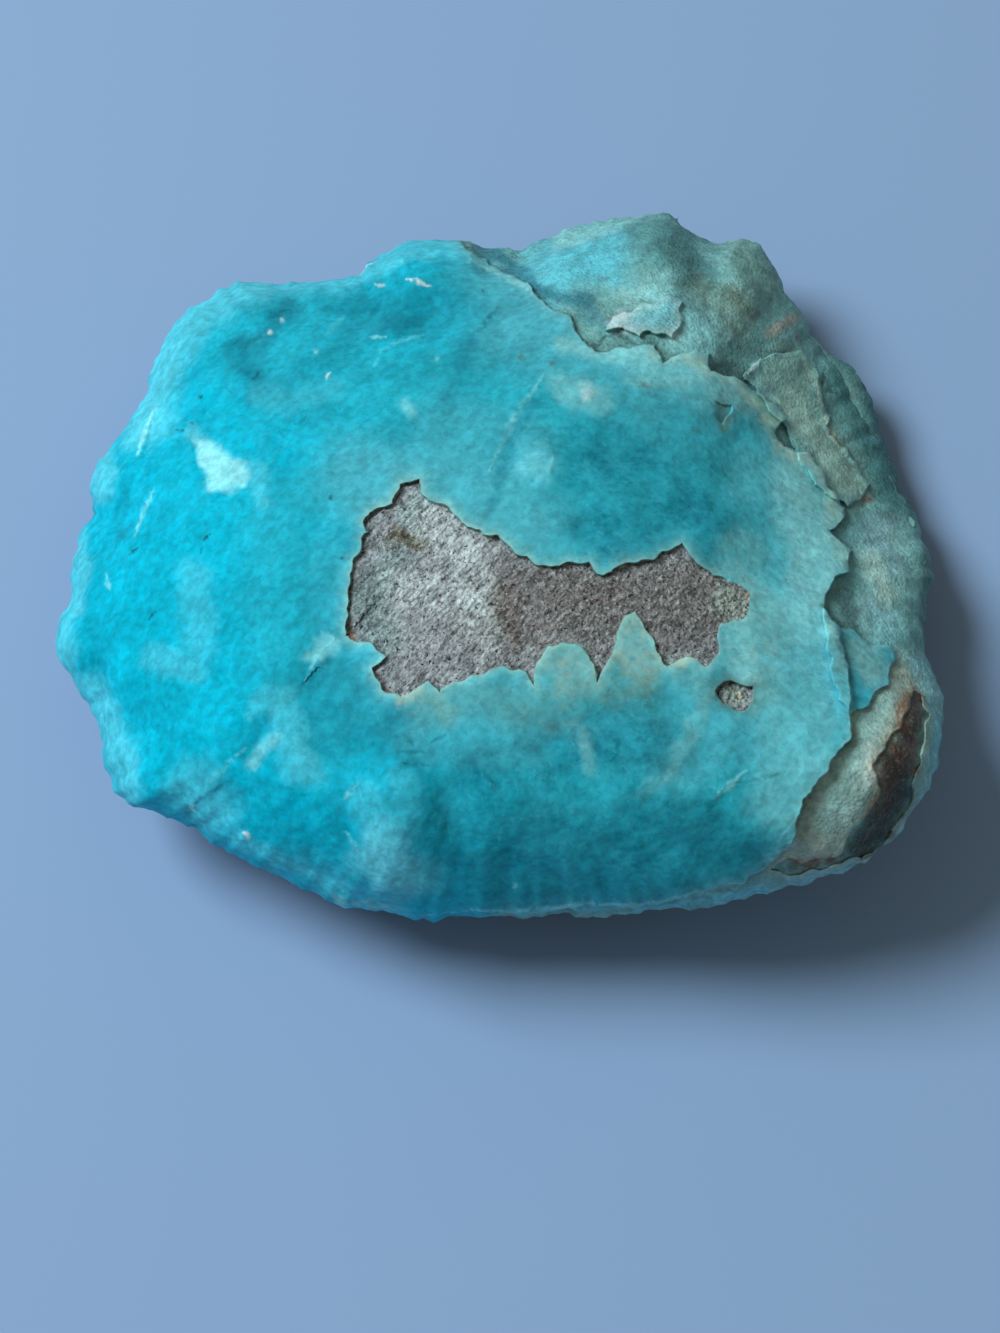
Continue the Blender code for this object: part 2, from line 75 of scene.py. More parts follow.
class Tone(Enum):
    """The stone's colours, as sRGB from 0 to 255."""

    AQUA = (0, 180, 212)
    SKY = (90, 208, 232)
    MIST = (64, 196, 218)
    FROST = (150, 238, 248)
    SNOW = (212, 238, 244)
    FOAM = (138, 204, 206)
    LAGOON = (34, 160, 180)
    HAZE = (92, 176, 192)
    TEAL = (10, 112, 136)
    DEEP = (6, 82, 104)
    INK = (18, 36, 42)
    SAGE = (122, 162, 150)
    CREAM = (222, 216, 176)
    IVORY = (204, 242, 216)
    PEACH = (206, 162, 134)
    OLIVE = (92, 92, 62)
    RUST = (132, 78, 40)
    BARK = (84, 72, 62)
    UMBER = (98, 64, 42)
    SOOT = (44, 32, 28)
    ASH = (150, 164, 172)
    MAUVE = (118, 121, 122)
    STONE = (108, 172, 174)
    MOSS = (52, 116, 122)
    TAN = (156, 184, 176)
    SLATE = (54, 84, 90)
    CLOUD = (84, 190, 210)
    LIMB = (118, 184, 196)
    FLINT = (128, 134, 126)

    @property
    def linear(self) -> Points:
        """The colour in linear light."""
        value = np.array(self.value) / 255.0
        return np.where(value <= 0.04045, value / 12.92, ((value + 0.055) / 1.055) ** 2.4)


class Region(Enum):
    """The kinds of surface, each with its own finish, in the order of the mesh's materials."""

    CRUST = 0
    WINDOW = 1
    LAYER = 2
    BARE = 3


class NoiseLayer(Enum):
    """The layers of the noise, one for each use, so that no two uses match."""

    EDGE = 0.5
    FILL = 3.3
    ROUGH = 3.7
    FINE_EDGE = 6.3
    WRAP = 9.1
    GAP = 14.9
    WARP_ACROSS = 21.3
    WARP_ALONG = 33.8
    GREEN_STAIN = 40.0
    CREAM_STAIN = 49.0
    CRUST_GRAIN = 50.0
    WINDOW_GRAIN = 51.0
    LAYER_GRAIN = 52.0
    BARE_GRAIN = 53.0
    BROWN_STAIN = 58.0
    STROKE_BREAKS = 61.7
    STREAKS = 77.0


# Outlines on the face, in millimetres. The crust's last corners run outside the rim.
RIM = (
    (-35.1, -5.9), (-33.8, -2.0), (-33.2, 1.6), (-31.5, 4.1), (-32.3, 7.4), (-30.1, 10.2),
    (-28.2, 12.9), (-27.2, 16.1), (-25.7, 18.9), (-23.1, 20.9), (-20.4, 22.2), (-15.7, 22.6),
    (-11.5, 22.9), (-10.3, 24.2), (-8.2, 25.4), (-4.7, 25.6), (-0.8, 24.7), (3.1, 25.3), (7.0, 26.7),
    (9.6, 27.6), (13.8, 27.7), (14.9, 26.5), (16.3, 25.4), (19.6, 25.6), (21.2, 24.2), (21.8, 21.9),
    (23.6, 19.5), (24.4, 17.9), (26.9, 15.5), (28.2, 14.0), (29.6, 10.4), (31.9, 4.7), (32.9, 2.3),
    (33.8, -0.1), (33.5, -3.5), (33.2, -7.0), (34.3, -9.8), (34.9, -11.5), (34.8, -12.9), (34.1, -15.3),
    (33.4, -17.5), (32.1, -19.8), (30.4, -22.8), (28.3, -24.1), (23.5, -25.0), (19.0, -26.0),
    (17.4, -26.8), (12.9, -27.3), (7.8, -27.6), (4.7, -27.6), (-1.6, -27.4), (-5.5, -28.0),
    (-8.2, -27.3), (-12.5, -26.6), (-17.2, -24.7), (-22.3, -21.8), (-26.2, -19.8), (-29.6, -18.9),
    (-30.7, -16.1), (-31.0, -13.3), (-32.1, -11.0), (-33.5, -8.8),
)
CRUST = (
    (-3.5, 25.6), (-2.7, 24.5), (-0.2, 23.4), (2.2, 22.3), (3.6, 20.5), (5.6, 19.3), (6.4, 17.5),
    (7.8, 16.7), (12.1, 17.3), (12.8, 15.9), (14.0, 16.5), (16.4, 16.6), (16.6, 15.3), (19.3, 14.4),
    (21.5, 12.9), (22.7, 11.4), (21.6, 10.4), (22.2, 9.2), (24.4, 8.3), (25.1, 7.5), (25.6, 6.0),
    (27.1, 4.5), (27.0, 3.5), (25.9, 2.7), (27.4, 1.1), (27.2, -0.5), (26.2, -0.9), (25.2, -3.4),
    (26.5, -4.9), (27.3, -7.4), (27.6, -10.6), (27.4, -13.4), (25.8, -15.8), (24.4, -17.5),
    (23.6, -19.6), (22.7, -21.7), (21.1, -23.4), (18.8, -24.7), (16.5, -25.4), (14.7, -25.9),
    (11.0, -26.9), (7.8, -27.2), (4.7, -27.2), (2.0, -27.1), (0.0, -27.3), (-2.3, -28.6), (-9.4, -34.1),
    (-42.3, -34.1), (-42.3, 30.1), (-4.7, 30.1),
)
WINDOW = (
    (-7.8, 6.3), (-6.4, 6.6), (-6.1, 5.6), (-4.4, 4.5), (-2.3, 3.1), (-1.4, 2.4), (-0.2, 2.3),
    (1.1, 0.9), (3.1, -0.1), (5.9, 0.2), (7.0, 0.4), (7.7, -0.5), (8.8, -0.7), (9.6, 0.0), (12.1, 0.5),
    (12.7, 1.1), (14.3, 1.9), (15.4, 0.3), (16.8, -0.8), (18.4, -1.2), (19.6, -2.0), (19.7, -3.2),
    (18.8, -4.1), (17.4, -4.5), (16.9, -5.9), (17.1, -7.0), (16.1, -7.9), (14.7, -7.2), (13.2, -7.8),
    (12.2, -6.3), (11.5, -4.9), (10.6, -3.6), (9.7, -4.0), (9.0, -5.6), (8.8, -7.0), (8.1, -8.1),
    (7.6, -9.2), (7.5, -7.8), (6.1, -6.3), (3.7, -6.3), (3.0, -7.6), (2.6, -9.2), (1.5, -8.1),
    (0.0, -8.0), (-1.6, -8.6), (-3.5, -9.1), (-4.7, -10.1), (-5.6, -9.2), (-6.7, -9.6), (-7.7, -10.6),
    (-8.9, -9.8), (-10.0, -8.1), (-8.9, -7.2), (-10.2, -6.0), (-11.3, -6.1), (-12.1, -5.6),
    (-12.0, -3.7), (-11.8, -1.8), (-11.3, 0.7), (-10.7, 2.0), (-10.2, 2.6), (-10.6, 3.4), (-10.2, 4.1),
    (-8.5, 4.9),
)
PIT = (
    (17.1, -9.9), (17.5, -9.3), (18.6, -9.2), (19.7, -9.6), (19.8, -10.6), (19.3, -11.3), (18.3, -11.5),
    (17.4, -11.0),
)
SCAR = (
    (-24.3, 10.0), (-22.9, 10.0), (-22.1, 9.7), (-21.3, 8.8), (-19.4, 8.1), (-19.1, 7.4), (-19.6, 6.6),
    (-20.4, 5.6), (-21.3, 5.1), (-23.1, 6.0), (-24.0, 7.8),
)
PALE_FLAKE = (
    (8.2, 18.3), (8.8, 19.5), (10.3, 19.7), (11.4, 20.5), (13.4, 21.1), (14.2, 20.5), (14.1, 19.2),
    (13.5, 17.6), (11.7, 18.3), (10.9, 17.8), (9.6, 18.5),
)
TONGUE = (
    (25.4, -3.4), (26.5, -4.8), (28.0, -5.2), (29.3, -6.2), (30.5, -6.4), (31.0, -7.4), (30.4, -9.2),
    (29.4, -9.8), (28.8, -11.0), (27.4, -11.8), (26.5, -10.6), (25.8, -6.7),
)
SHELF = (
    (19.3, 15.0), (20.4, 16.4), (23.3, 16.8), (24.4, 16.1), (24.9, 14.0), (25.8, 11.7), (25.9, 10.3),
    (27.2, 8.8), (28.9, 6.3), (28.5, 5.2), (27.2, 4.5), (24.7, 6.3), (22.7, 9.8), (21.1, 12.5),
)
STAIN = (
    (32.4, -9.3), (33.1, -10.2), (33.4, -11.7), (32.5, -16.4), (32.3, -18.3), (30.8, -21.3),
    (30.2, -22.8), (26.6, -23.6), (22.6, -24.0), (21.0, -23.7), (22.4, -22.9), (24.1, -23.2),
    (26.6, -22.6), (27.9, -20.8), (29.2, -18.6), (29.8, -17.5), (29.1, -15.6), (31.2, -12.9),
    (32.1, -11.2),
)
DENT = (
    (16.9, 12.8), (17.4, 12.5), (18.2, 12.6), (17.9, 11.6), (17.5, 10.7), (17.0, 11.5),
)


def smooth(share: Points) -> Points:
    """An S-curve from 0 to 1."""
    share = np.clip(share, 0.0, 1.0)
    return share * share * (3.0 - 2.0 * share)


def distance_to(points: Points, starts: Points, ends: Points) -> Points:
    """Measures how far points are from some straight runs.

    Args:
        points: Places, one in each row.
        starts: Where the runs start.
        ends: Where the runs end.

    Returns:
        Each point's distance to the nearest run.
    """
    run = ends - starts
    length = np.maximum((run * run).sum(axis=-1), TINY)
    nearest = np.full(len(points), np.inf)
    for start, way, square in zip(starts, run, length):
        offset = points - start
        share = np.clip(offset @ way / square, 0.0, 1.0)
        nearest = np.minimum(nearest, np.linalg.norm(offset - share[:, None] * way, axis=1))
    return nearest


def search_tree(points: Points) -> kdtree.KDTree:
    """Readies points on the face or the map to be searched by place.

    Args:
        points: The points, one in each row.

    Returns:
        Their search tree.
    """
    tree = kdtree.KDTree(len(points))
    for number, (u, v) in enumerate(points):
        tree.insert((u, v, 0.0), number)
    tree.balance()
    return tree


def noise_places(points: Points, size: float, layer: NoiseLayer) -> Points:
    """Finds where points lie in a layer of the noise.

    Args:
        points: Places on the face, or in space.
        size: The width of the noise's largest lumps.
        layer: The layer.

    Returns:
        Places in the noise as x, y, z.
    """
    if points.shape[1] == 2:
        return np.column_stack((points / size, np.full(len(points), layer.value)))
    return points / size + layer.value


def noise_at(points: Points, size: float, layer: NoiseLayer, octaves: int = 3) -> Points:
    """Reads soft noise, the same on every run.

    Args:
        points: Places on the face, or in space.
        size: The width of the noise's largest lumps.
        layer: Which of its layers to read.
        octaves: How many finer copies are laid over it.

    Returns:
        One value for each point, mostly between -0.5 and 0.5.
    """
    grade = (NOISE_ROUGHNESS, NOISE_LACUNARITY, octaves)
    places = noise_places(points, size, layer)
    return 0.5 * np.array([noise.fractal(Vector(p), *grade, noise_basis="PERLIN_NEW") for p in places])


@dataclass(frozen=True)
class Swell:
    """A soft round lump over the face, or a dent if its rise is negative."""

    u: float
    v: float
    half_width: float
    half_height: float
    rise: float

    def height(self, points: Points) -> Points:
        """How far it lifts each point."""
        offset = (points - (self.u, self.v)) / (self.half_width, self.half_height)
        return self.rise * np.exp(-(offset * offset).sum(axis=1))


@dataclass(frozen=True)
class Stroke:
    """A soft streak or patch of one colour on the face, which may stand up or sink in."""

    tone: Tone
    line: tuple[Pair, ...]
    half_width: float
    strength: float
    rise: float = 0.0

    FULL = 1.35
    REACH = 1.25
    FINE = 0.5
    TAPER = 0.75
    BREAK_SIZE = 0.45
    BREAK_LEVEL = 0.85
    BREAK_GAIN = 2.4

    def distance(self, points: Points) -> Points:
        """Each point's distance to the stroke's line."""
        ends = np.array(self.line)
        return distance_to(points, ends[: max(1, len(ends) - 1)], ends[min(1, len(ends) - 1) :])

    def width(self, points: Points) -> Points:
        """Measures the stroke, which thins out towards its ends if it is a fine streak.

        Args:
            points: Places on the face.

        Returns:
            The stroke's half width beside each place.
        """
        start, end = np.array(self.line[0]), np.array(self.line[-1])
        length = np.linalg.norm(end - start)
        if self.half_width > self.FINE or length < self.half_width:
            return np.full(len(points), self.half_width)
        middle = np.linalg.norm(points - 0.5 * (start + end), axis=1) / (0.5 * length)
        return self.half_width * (1.0 - self.TAPER * smooth(middle))

    def cover(self, points: Points) -> Points:
        """Lays the stroke on the face. A fine one is broken up.

        Args:
            points: Places on the face.

        Returns:
            How much of the stroke each place gets, from 0 to 1.
        """
        cover = smooth(self.FULL * (1.0 - self.distance(points) / (self.REACH * self.width(points))))
        if self.half_width <= self.FINE:
            touched = np.flatnonzero(cover)
            breaks = noise_at(points[touched], self.BREAK_SIZE, NoiseLayer.STROKE_BREAKS, 2)
            cover[touched] *= smooth(self.BREAK_LEVEL + self.BREAK_GAIN * breaks)
        return cover


@dataclass(frozen=True)
class Fold:
    """A low step beside a line: the stone is lower on the line's left, and rises again further out."""

    line: tuple[Pair, ...]
    drop: float
    reach: float
    width: float

    def height(self, points: Points) -> Points:
        """Measures the step.

        Args:
            points: Places on the face.

        Returns:
            How far it lifts each place, which is negative where the stone is lower.
        """
        ends = np.array(self.line)
        distance = distance_to(points, ends[:-1], ends[1:])
        way = ends[-1] - ends[0]
        offset = points - ends[0]
        left = np.sign(offset[:, 1] * way[0] - offset[:, 0] * way[1])
        fade = np.exp(-((distance / self.reach) ** 2))
        return -self.drop * fade * smooth(0.5 + left * distance / self.width)


class Outline:
    """A closed line on the face or the map, ready to be measured from."""

    def __init__(self, line: Points) -> None:
        """Readies a closed line.

        Args:
            line: Its corners in order, one in each row.
        """
        self.line = line
        self.tree = search_tree(line)

    def inside(self, points: Points) -> Points:
        """Finds the points inside the line.

        Args:
            points: The points.

        Returns:
            Whether each one lies inside.
        """
        order = np.argsort(points[:, 1])
        across, levels = points[order].T
        crossings = np.zeros(len(points), dtype=int)
        for start, end in zip(self.line, np.roll(self.line, -1, axis=0)):
            first, last = np.searchsorted(levels, sorted((start[1], end[1])))
            if first < last:
                share = (levels[first:last] - start[1]) / (end[1] - start[1])
                crossings[first:last] += across[first:last] < start[0] + (end[0] - start[0]) * share
        inside = np.zeros(len(points), dtype=bool)
        inside[order] = crossings % 2 == 1
        return inside

    def depth(self, points: Points) -> Points:
        """Measures how far inside the line points are.

        Args:
            points: The points.

        Returns:
            Each one's distance to the line, negative outside it.
        """
        corners = np.array([self.tree.find((u, v, 0.0))[1] for u, v in points])
        nearest = np.full(len(points), np.inf)
        for first, last in ((corners - 1, corners), (corners, (corners + 1) % len(self.line))):
            start = self.line[first]
            run = self.line[last] - start
            offset = points - start
            share = (offset * run).sum(axis=1) / np.maximum((run * run).sum(axis=1), TINY)
            gap = np.linalg.norm(offset - np.clip(share, 0.0, 1.0)[:, None] * run, axis=1)
            nearest = np.minimum(nearest, gap)
        return np.where(self.inside(points), nearest, -nearest)

    def shifted(self, distance: float | Points) -> Points:
        """Moves the line sideways.

        Args:
            distance: How far each corner goes to the line's left.

        Returns:
            The corners of the moved line.
        """
        along = np.roll(self.line, -1, axis=0) - np.roll(self.line, 1, axis=0)
        along /= np.linalg.norm(along, axis=1)[:, None]
        return self.line + np.column_stack((-along[:, 1], along[:, 0])) * distance


def rounded(corners: tuple[Pair, ...]) -> tuple[Pair, ...]:
    """Cuts off an outline's corners, a quarter of the way to the next.

    Args:
        corners: The closed outline's corners.

    Returns:
        The corners of the rounder outline, twice as many.
    """
    return tuple(
        (start[0] + (end[0] - start[0]) * share, start[1] + (end[1] - start[1]) * share)
        for start, end in zip(corners, corners[1:] + corners[:1])
        for share in (0.25, 0.75)
    )


@dataclass(frozen=True)
class BrokenEdge:
    """How uneven a broken edge is, and how closely its points stand."""

    spacing: float = 0.26
    swerve: float = 0.35
    fine_swerve: float = 0.2
    fine_size: float = 0.35

    def along(self, corners: tuple[Pair, ...]) -> Outline:
        """Breaks up a drawn outline.

        Args:
            corners: The drawn corners.

        Returns:
            The broken line through them.
        """
        points = []
        for start, end in zip(corners, corners[1:] + corners[:1]):
            steps = max(1, math.ceil(math.dist(start, end) / self.spacing))
            for step in range(steps):
                share = step / steps
                points.append([a + (b - a) * share for a, b in zip(start, end)])
        line = np.array(points)
        places = noise_places(line, 1.0, NoiseLayer.EDGE)
        swerves = np.array([self.swerve * noise.noise(Vector(place)) for place in places])
        fine = self.fine_swerve * noise_at(line, self.fine_size, NoiseLayer.FINE_EDGE, 1)
        return Outline(Outline(line).shifted((swerves + fine)[:, None]))


@dataclass(frozen=True)
class Ledge:
    """A step in the surface inside an outline. It rises, or sinks if the step is negative.

    Its lip is the colour along its edge, partly painted light where light shines through a thin edge;
    its gap is painted shade at its foot, and its fill is the colour inside it.
    It runs out at its fades.
    """

    outline: Outline
    step: float
    lip: Tone = Tone.FOAM
    lip_strength: float = 0.0
    gap: Tone = Tone.INK
    foot_shade_strength: float = 0.0
    fades: tuple[Swell, ...] = ()
    fill: Tone = Tone.SNOW
    fill_strength: float = 0.0

    WALL_HALF = 0.07
    LIP_WIDTH = 0.4
    GAP_WIDTH = 0.22
    GAP_SIZE = 2.2
    GAP_LEVEL = 0.55
    GAP_GAIN = 2.2
    FILL_EDGE = 0.7
    FILL_SIZE = 1.1

    def walls(self) -> list[Points]:
        """The top and the foot of the step's wall."""
        return [self.outline.shifted(side * self.WALL_HALF) for side in (1.0, -1.0)]

    def over_wall(self, depth: Points) -> Points:
        """How far up the wall each point is, from its depth inside the outline."""
        return smooth(0.5 + depth / (2.0 * self.WALL_HALF))

    def whole(self, points: Points) -> Points | float:
        """How much of the step is there, because it runs out in places."""
        return math.prod(1.0 - fade.height(points) for fade in self.fades)

    def rise(self, points: Points, depth: Points) -> Points:
        """How far it lifts each point, from its depth inside the outline."""
        return self.step * self.whole(points) * self.over_wall(depth)

    def edge_covers(self, points: Points, depth: Points) -> list[tuple[Tone, Points]]:
        """Finds where the step is another colour: inside it, along its edge, and in the painted shade at its
        foot.

        Args:
            points: Places on the face.
            depth: Their depths inside the outline.

        Returns:
            The colours, and how much of each every point gets.
        """
        high = depth if self.step > 0 else -depth
        whole = self.whole(points)
        patchy = smooth(self.GAP_LEVEL + self.GAP_GAIN * noise_at(points, self.GAP_SIZE, NoiseLayer.GAP, 2))
        lip = self.lip_strength * whole * np.where(high >= 0, np.exp(-high / self.LIP_WIDTH), 0.0)
        gap = self.foot_shade_strength * whole * patchy * np.where(high < 0, np.exp(high / self.GAP_WIDTH), 0.0)
        ragged = depth + self.FILL_EDGE * noise_at(points, self.FILL_SIZE, NoiseLayer.FILL)
        streaked = smooth(ragged / self.FILL_EDGE)
        return [(self.fill, self.fill_strength * streaked), (self.lip, lip), (self.gap, gap)]


@dataclass(frozen=True)
class Face:
    """The plane on which the stone is drawn, in millimetres from the middle of the stone's foot."""

    lean: float = math.radians(28)
    middle: Triple = (0.155, -1.325, 8.0)
    sight: Triple = (0.0, -7.95, 290.0)

    @property
    def up(self) -> Points:
        """The way up the face."""
        return np.array((0.0, math.cos(self.lean), math.sin(self.lean)))

    @property
    def out(self) -> Points:
        """The way straight out of the face."""
        return np.array((0.0, -math.sin(self.lean), math.cos(self.lean)))

    @property
    def eye(self) -> Points:
        """The sight point, as x, y, z."""
        across, along, away = self.sight
        return np.array(self.middle) + np.array((across, 0.0, 0.0)) + along * self.up + away * self.out

    def sight_lines(self, points: Points) -> Points:
        """The way each point goes as it is raised by a millimetre, as x, y, z."""
        slide = (np.array(self.sight[:2]) - points) / self.sight[2]
        return slide[:, :1] * np.array((1.0, 0.0, 0.0)) + slide[:, 1:] * self.up + self.out

    def raised(self, points: Points, heights: Points) -> Points:
        """Lifts places off the face.

        Args:
            points: Places on the face.
            heights: How far each goes towards the sight point.

        Returns:
            The places as x, y, z.
        """
        flat = points[:, :1] * np.array((1.0, 0.0, 0.0)) + points[:, 1:] * self.up
        return np.array(self.middle) + flat + heights[:, None] * self.sight_lines(points)


class Rim:
    """The stone's outline on the face, as a radius for each direction from its middle."""

    MIDDLE = np.array((0.8, -1.2))
    SOFTENING = math.radians(14)
    SOFTENING_STEPS = 9
    MAP_STRETCH = 0.4
    LEAST_SHARE = 1e-6
    EXACT_FROM = 0.75
    EXACT_OVER = 0.22

    def __init__(self, edge: BrokenEdge) -> None:
        """Readies the outline.

        Args:
            edge: How it is broken.
        """
        self.outline = edge.along(rounded(RIM))
        offset = self.outline.line - self.MIDDLE
        angles = np.arctan2(offset[:, 1], offset[:, 0])
        order = np.argsort(angles)
        self.angles = angles[order]
        self.radii = np.linalg.norm(offset, axis=1)[order]
        turns = np.linspace(-self.SOFTENING, self.SOFTENING, self.SOFTENING_STEPS)
        self.soft_radii = np.mean([self.radius(self.angles + turn, self.radii) for turn in turns], axis=0)

    def radius(self, angles: Points, radii: Points) -> Points:
        """The radius in each direction."""
        return np.interp(angles, self.angles, radii, period=2 * math.pi)

    def polar(self, points: Points) -> tuple[Points, Points, Points]:
        """The offset of points from the middle, their directions and their reach."""
        offset = points - self.MIDDLE
        return offset, np.arctan2(offset[:, 1], offset[:, 0]), np.linalg.norm(offset, axis=1)

    def to_map(self, points: Points) -> Points:
        """Finds the map's places for some places on the face.

        Args:
            points: Places on the face.

        Returns:
            Places on the map.
        """
        offset, angles, reach = self.polar(points)
        share = np.clip(reach / self.radius(angles, self.radii), self.LEAST_SHARE, 1.0)
        inset = 1.0 - share
        half = 2.0 * (1.0 + self.MAP_STRETCH)
        stretched = (inset + np.sqrt(inset * inset + 2.0 * half * inset * self.MAP_STRETCH)) / half
        return self.MIDDLE + offset * ((1.0 - stretched) / share)[:, None]

    def to_face(self, points: Points) -> Points:
        """Finds the face's places for some places on the map.

        Args:
            points: Places on the map.

        Returns:
            Places on the face.
        """
        offset, angles, reach = self.polar(points)
        share = np.clip(reach / self.radius(angles, self.radii), self.LEAST_SHARE, 1.0)
        inset = 1.0 - share
        inset = inset * inset * (1.0 + self.MAP_STRETCH) / (inset + self.MAP_STRETCH)
        return self.MIDDLE + offset * ((1.0 - inset) / share)[:, None]

    def share(self, points: Points) -> Points:
        """Measures how far out points are. Further in, the outline is softer.

        Args:
            points: Places on the face.

        Returns:
            0 for a point in the middle, 1 for one on the rim.
        """
        _, angles, reach = self.polar(points)
        exact = np.clip(reach / self.radius(angles, self.radii), 0.0, 1.0)
        soft = reach / self.radius(angles, self.soft_radii)
        return np.clip(soft + (exact - soft) * smooth((exact - self.EXACT_FROM) / self.EXACT_OVER), 0.0, 1.0)


@dataclass(frozen=True)
class Flat:
    """A flat broken off the flanks or the underside."""

    compass: float
    below_level: float
    depth: float

    def facing(self) -> Points:
        """The way it faces, as x, y, z."""
        turn, tip = math.radians(self.compass), math.radians(self.below_level)
        return np.array((math.cos(tip) * math.sin(turn), math.cos(tip) * math.cos(turn), -math.sin(tip)))


@dataclass(frozen=True)
class StoneForm:
    """The main form: a dome over the rim's slanted plane, and a bulge under it."""

    face: Face
    rim: Rim
    rim_fall: float = math.tan(math.radians(30))
    rim_climb: float = math.tan(math.radians(3.2))
    dome_height: float = 15.5
    dome_power: float = 2.3
    dome_bend: float = 0.6
    under_depth: float = 14.0
    under_power: float = 3.4
    under_bend: float = 0.46
    upright_from: float = -20.0
    upright_over: float = 35.0
    relief_ends: float = 0.5
    flats_over: float = 0.3
    roughness: float = 0.56
    rough_size: float = 4.0
    lump_rise: float = 1.1
    lump_size: float = 7.0
    lump_level: float = 0.5
    lump_reach: float = 0.7
    chip_tilt: float = 0.3
    chip_size: float = 7.5
    chip_shuffle: float = 5.3

    def soft_relief(self, points: Points) -> Points:
        """The lumps, dents, folds and unevenness of the upper side."""
        rough = self.roughness * noise_at(points, self.rough_size, NoiseLayer.ROUGH)
        return sum((swell.height(points) for swell in (*SWELLS, *FOLDS)), start=rough)

    def rim_plane(self, points: Points) -> Points:
        """How far off the face the rim's nearly level plane stands: more towards the front and the right."""
        return self.rim_climb * points[:, 0] - self.rim_fall * points[:, 1]

    def upper_side(self, points: Points) -> Points:
        """The upper side's places without its ledges, as x, y, z."""
        dome = self.dome_height * (1.0 - self.rim.share(points) ** self.dome_power) ** self.dome_bend
        return self.face.raised(points, dome + self.rim_plane(points) + self.soft_relief(points))

    def bulge(self, points: Points) -> Points:
        """How far down the underside is: 0 at the rim, 1 at its deepest."""
        return (1.0 - self.rim.share(points) ** self.under_power) ** self.under_bend

    def relief_share(self, bulge: Points) -> Points:
        """How much of the upper side's relief the underside still has, from how far down it is."""
        return (1.0 - smooth(bulge / self.relief_ends)) ** 2

    def underside(self, points: Points) -> Points:
        """Places the underside: pushed straight away from the face in front, and upright behind.

        Args:
            points: Places on the face, all over the stone, because each flat is cut off the whole.

        Returns:
            The underside's places as x, y, z.
        """
        bulge = self.bulge(points)
        relief = self.soft_relief(points) * self.relief_share(bulge)
        start = self.face.raised(points, self.rim_plane(points) + relief)
        behind = smooth((points[:, 1] - self.upright_from) / self.upright_over)
        upright = (behind * smooth(bulge))[:, None]
        way = -self.face.out * (1.0 - upright) + np.array((0.0, 0.0, -1.0)) * upright
        whole = start + way * (self.under_depth * bulge)[:, None]
        broken_off = whole.copy()
        for flat in FLATS:
            facing = flat.facing()
            limit = (whole @ facing).max() - flat.depth
            broken_off -= np.maximum(broken_off @ facing - limit, 0.0)[:, None] * facing
        return whole + (broken_off - whole) * smooth(bulge / self.flats_over)[:, None]

    def lumps(self, places: Points) -> Points:
        """How far the crust, which grew in grapes, stands out at some places in space."""
        nearest = np.array([noise.voronoi(Vector(place / self.lump_size))[0][0] for place in places])
        return self.lump_rise * (self.lump_level - (nearest / self.lump_reach) ** 2)

    def chips(self, places: Points) -> Points:
        """Chips the bare stone: each chip is a flat with its own tilt.

        Args:
            places: Places as x, y, z in millimetres.

        Returns:
            How far each place stands out.
        """
        heights = []
        for place in places:
            middle = noise.voronoi(Vector(place / self.chip_size))[1][0]
            tilt = noise.noise_vector(middle * self.chip_shuffle)
            heights.append(self.chip_tilt * tilt.dot(Vector(place) - middle * self.chip_size))
        return np.array(heights)


SWELLS = (
    # small lumps and dents of the crust
    Swell(-19.6, 16.8, 3.6, 3.2, -0.7),
    Swell(-6.3, 19.4, 5.0, 2.2, -0.9),
    Swell(-7.0, 23.5, 3.4, 2.2, 0.6),
    Swell(-8.4, -20.9, 2.8, 4.6, 1.0),
    Swell(-3.8, -20.3, 2.2, 4.6, -0.7),
    Swell(2.5, 7.8, 1.9, 1.8, 0.4),
    Swell(-31.4, 7.0, 1.8, 2.2, 0.6),
    Swell(-33.0, -4.0, 2.0, 3.2, 0.6),
    Swell(4.7, 23.6, 3.0, 2.2, 0.7),
    Swell(12.2, 24.6, 3.0, 2.4, 0.9),
    Swell(15.6, 24.2, 1.0, 2.6, -0.8),
    Swell(19.2, 22.4, 2.4, 3.0, 0.7),
    Swell(18.4, 16.0, 2.4, 1.2, -0.6),
    Swell(22.0, 18.8, 1.6, 1.4, 0.4),
    Swell(31.5, -14.5, 2.2, 3.0, 0.6),
    Swell(14.0, -18.0, 6.0, 4.5, 0.5),
    Swell(9.6, 8.4, 3.4, 1.6, -0.35),
    Swell(-15.5, -2.0, 4.0, 7.0, 0.4),
    Swell(-25.0, -13.0, 3.0, 3.6, 0.5),
    Swell(-16.5, -15.5, 2.0, 3.5, 0.35),
    # the low back right, the full lower right, and the low right end and front
    Swell(27.0, 11.0, 9.0, 13.0, -7.0),
    Swell(31.0, -16.0, 8.0, 7.0, 4.0),
    Swell(33.0, 4.0, 6.0, 8.0, -2.5),
    Swell(0.0, -28.0, 18.0, 7.0, -3.5),
)
FOLDS = (
    # down the left of the window, and along the left end
    Fold(
        line=((-12.1, -5.5), (-14.9, -7.8), (-18.4, -13.3), (-20.4, -14.9), (-23.5, -18.4)),
        drop=0.3,
        reach=4.5,
        width=3.2,
    ),
    Fold(
        line=((-31.5, -14.0), (-33.2, -6.5), (-31.8, -1.0), (-30.2, 5.0), (-28.8, 9.5), (-27.0, 12.6)),
        drop=0.5,
        reach=3.0,
        width=1.0,
    ),
)
FLATS = (
    Flat(-80, 38, 2.4), Flat(-52, 22, 1.2), Flat(-20, 45, 2.6), Flat(12, 20, 1.4),
    Flat(38, 42, 2.8), Flat(72, 25, 1.6), Flat(104, 48, 3.0), Flat(128, 20, 1.5),
    Flat(158, 40, 2.6), Flat(-160, 22, 1.4), Flat(-132, 46, 2.8), Flat(-104, 18, 1.2),
)

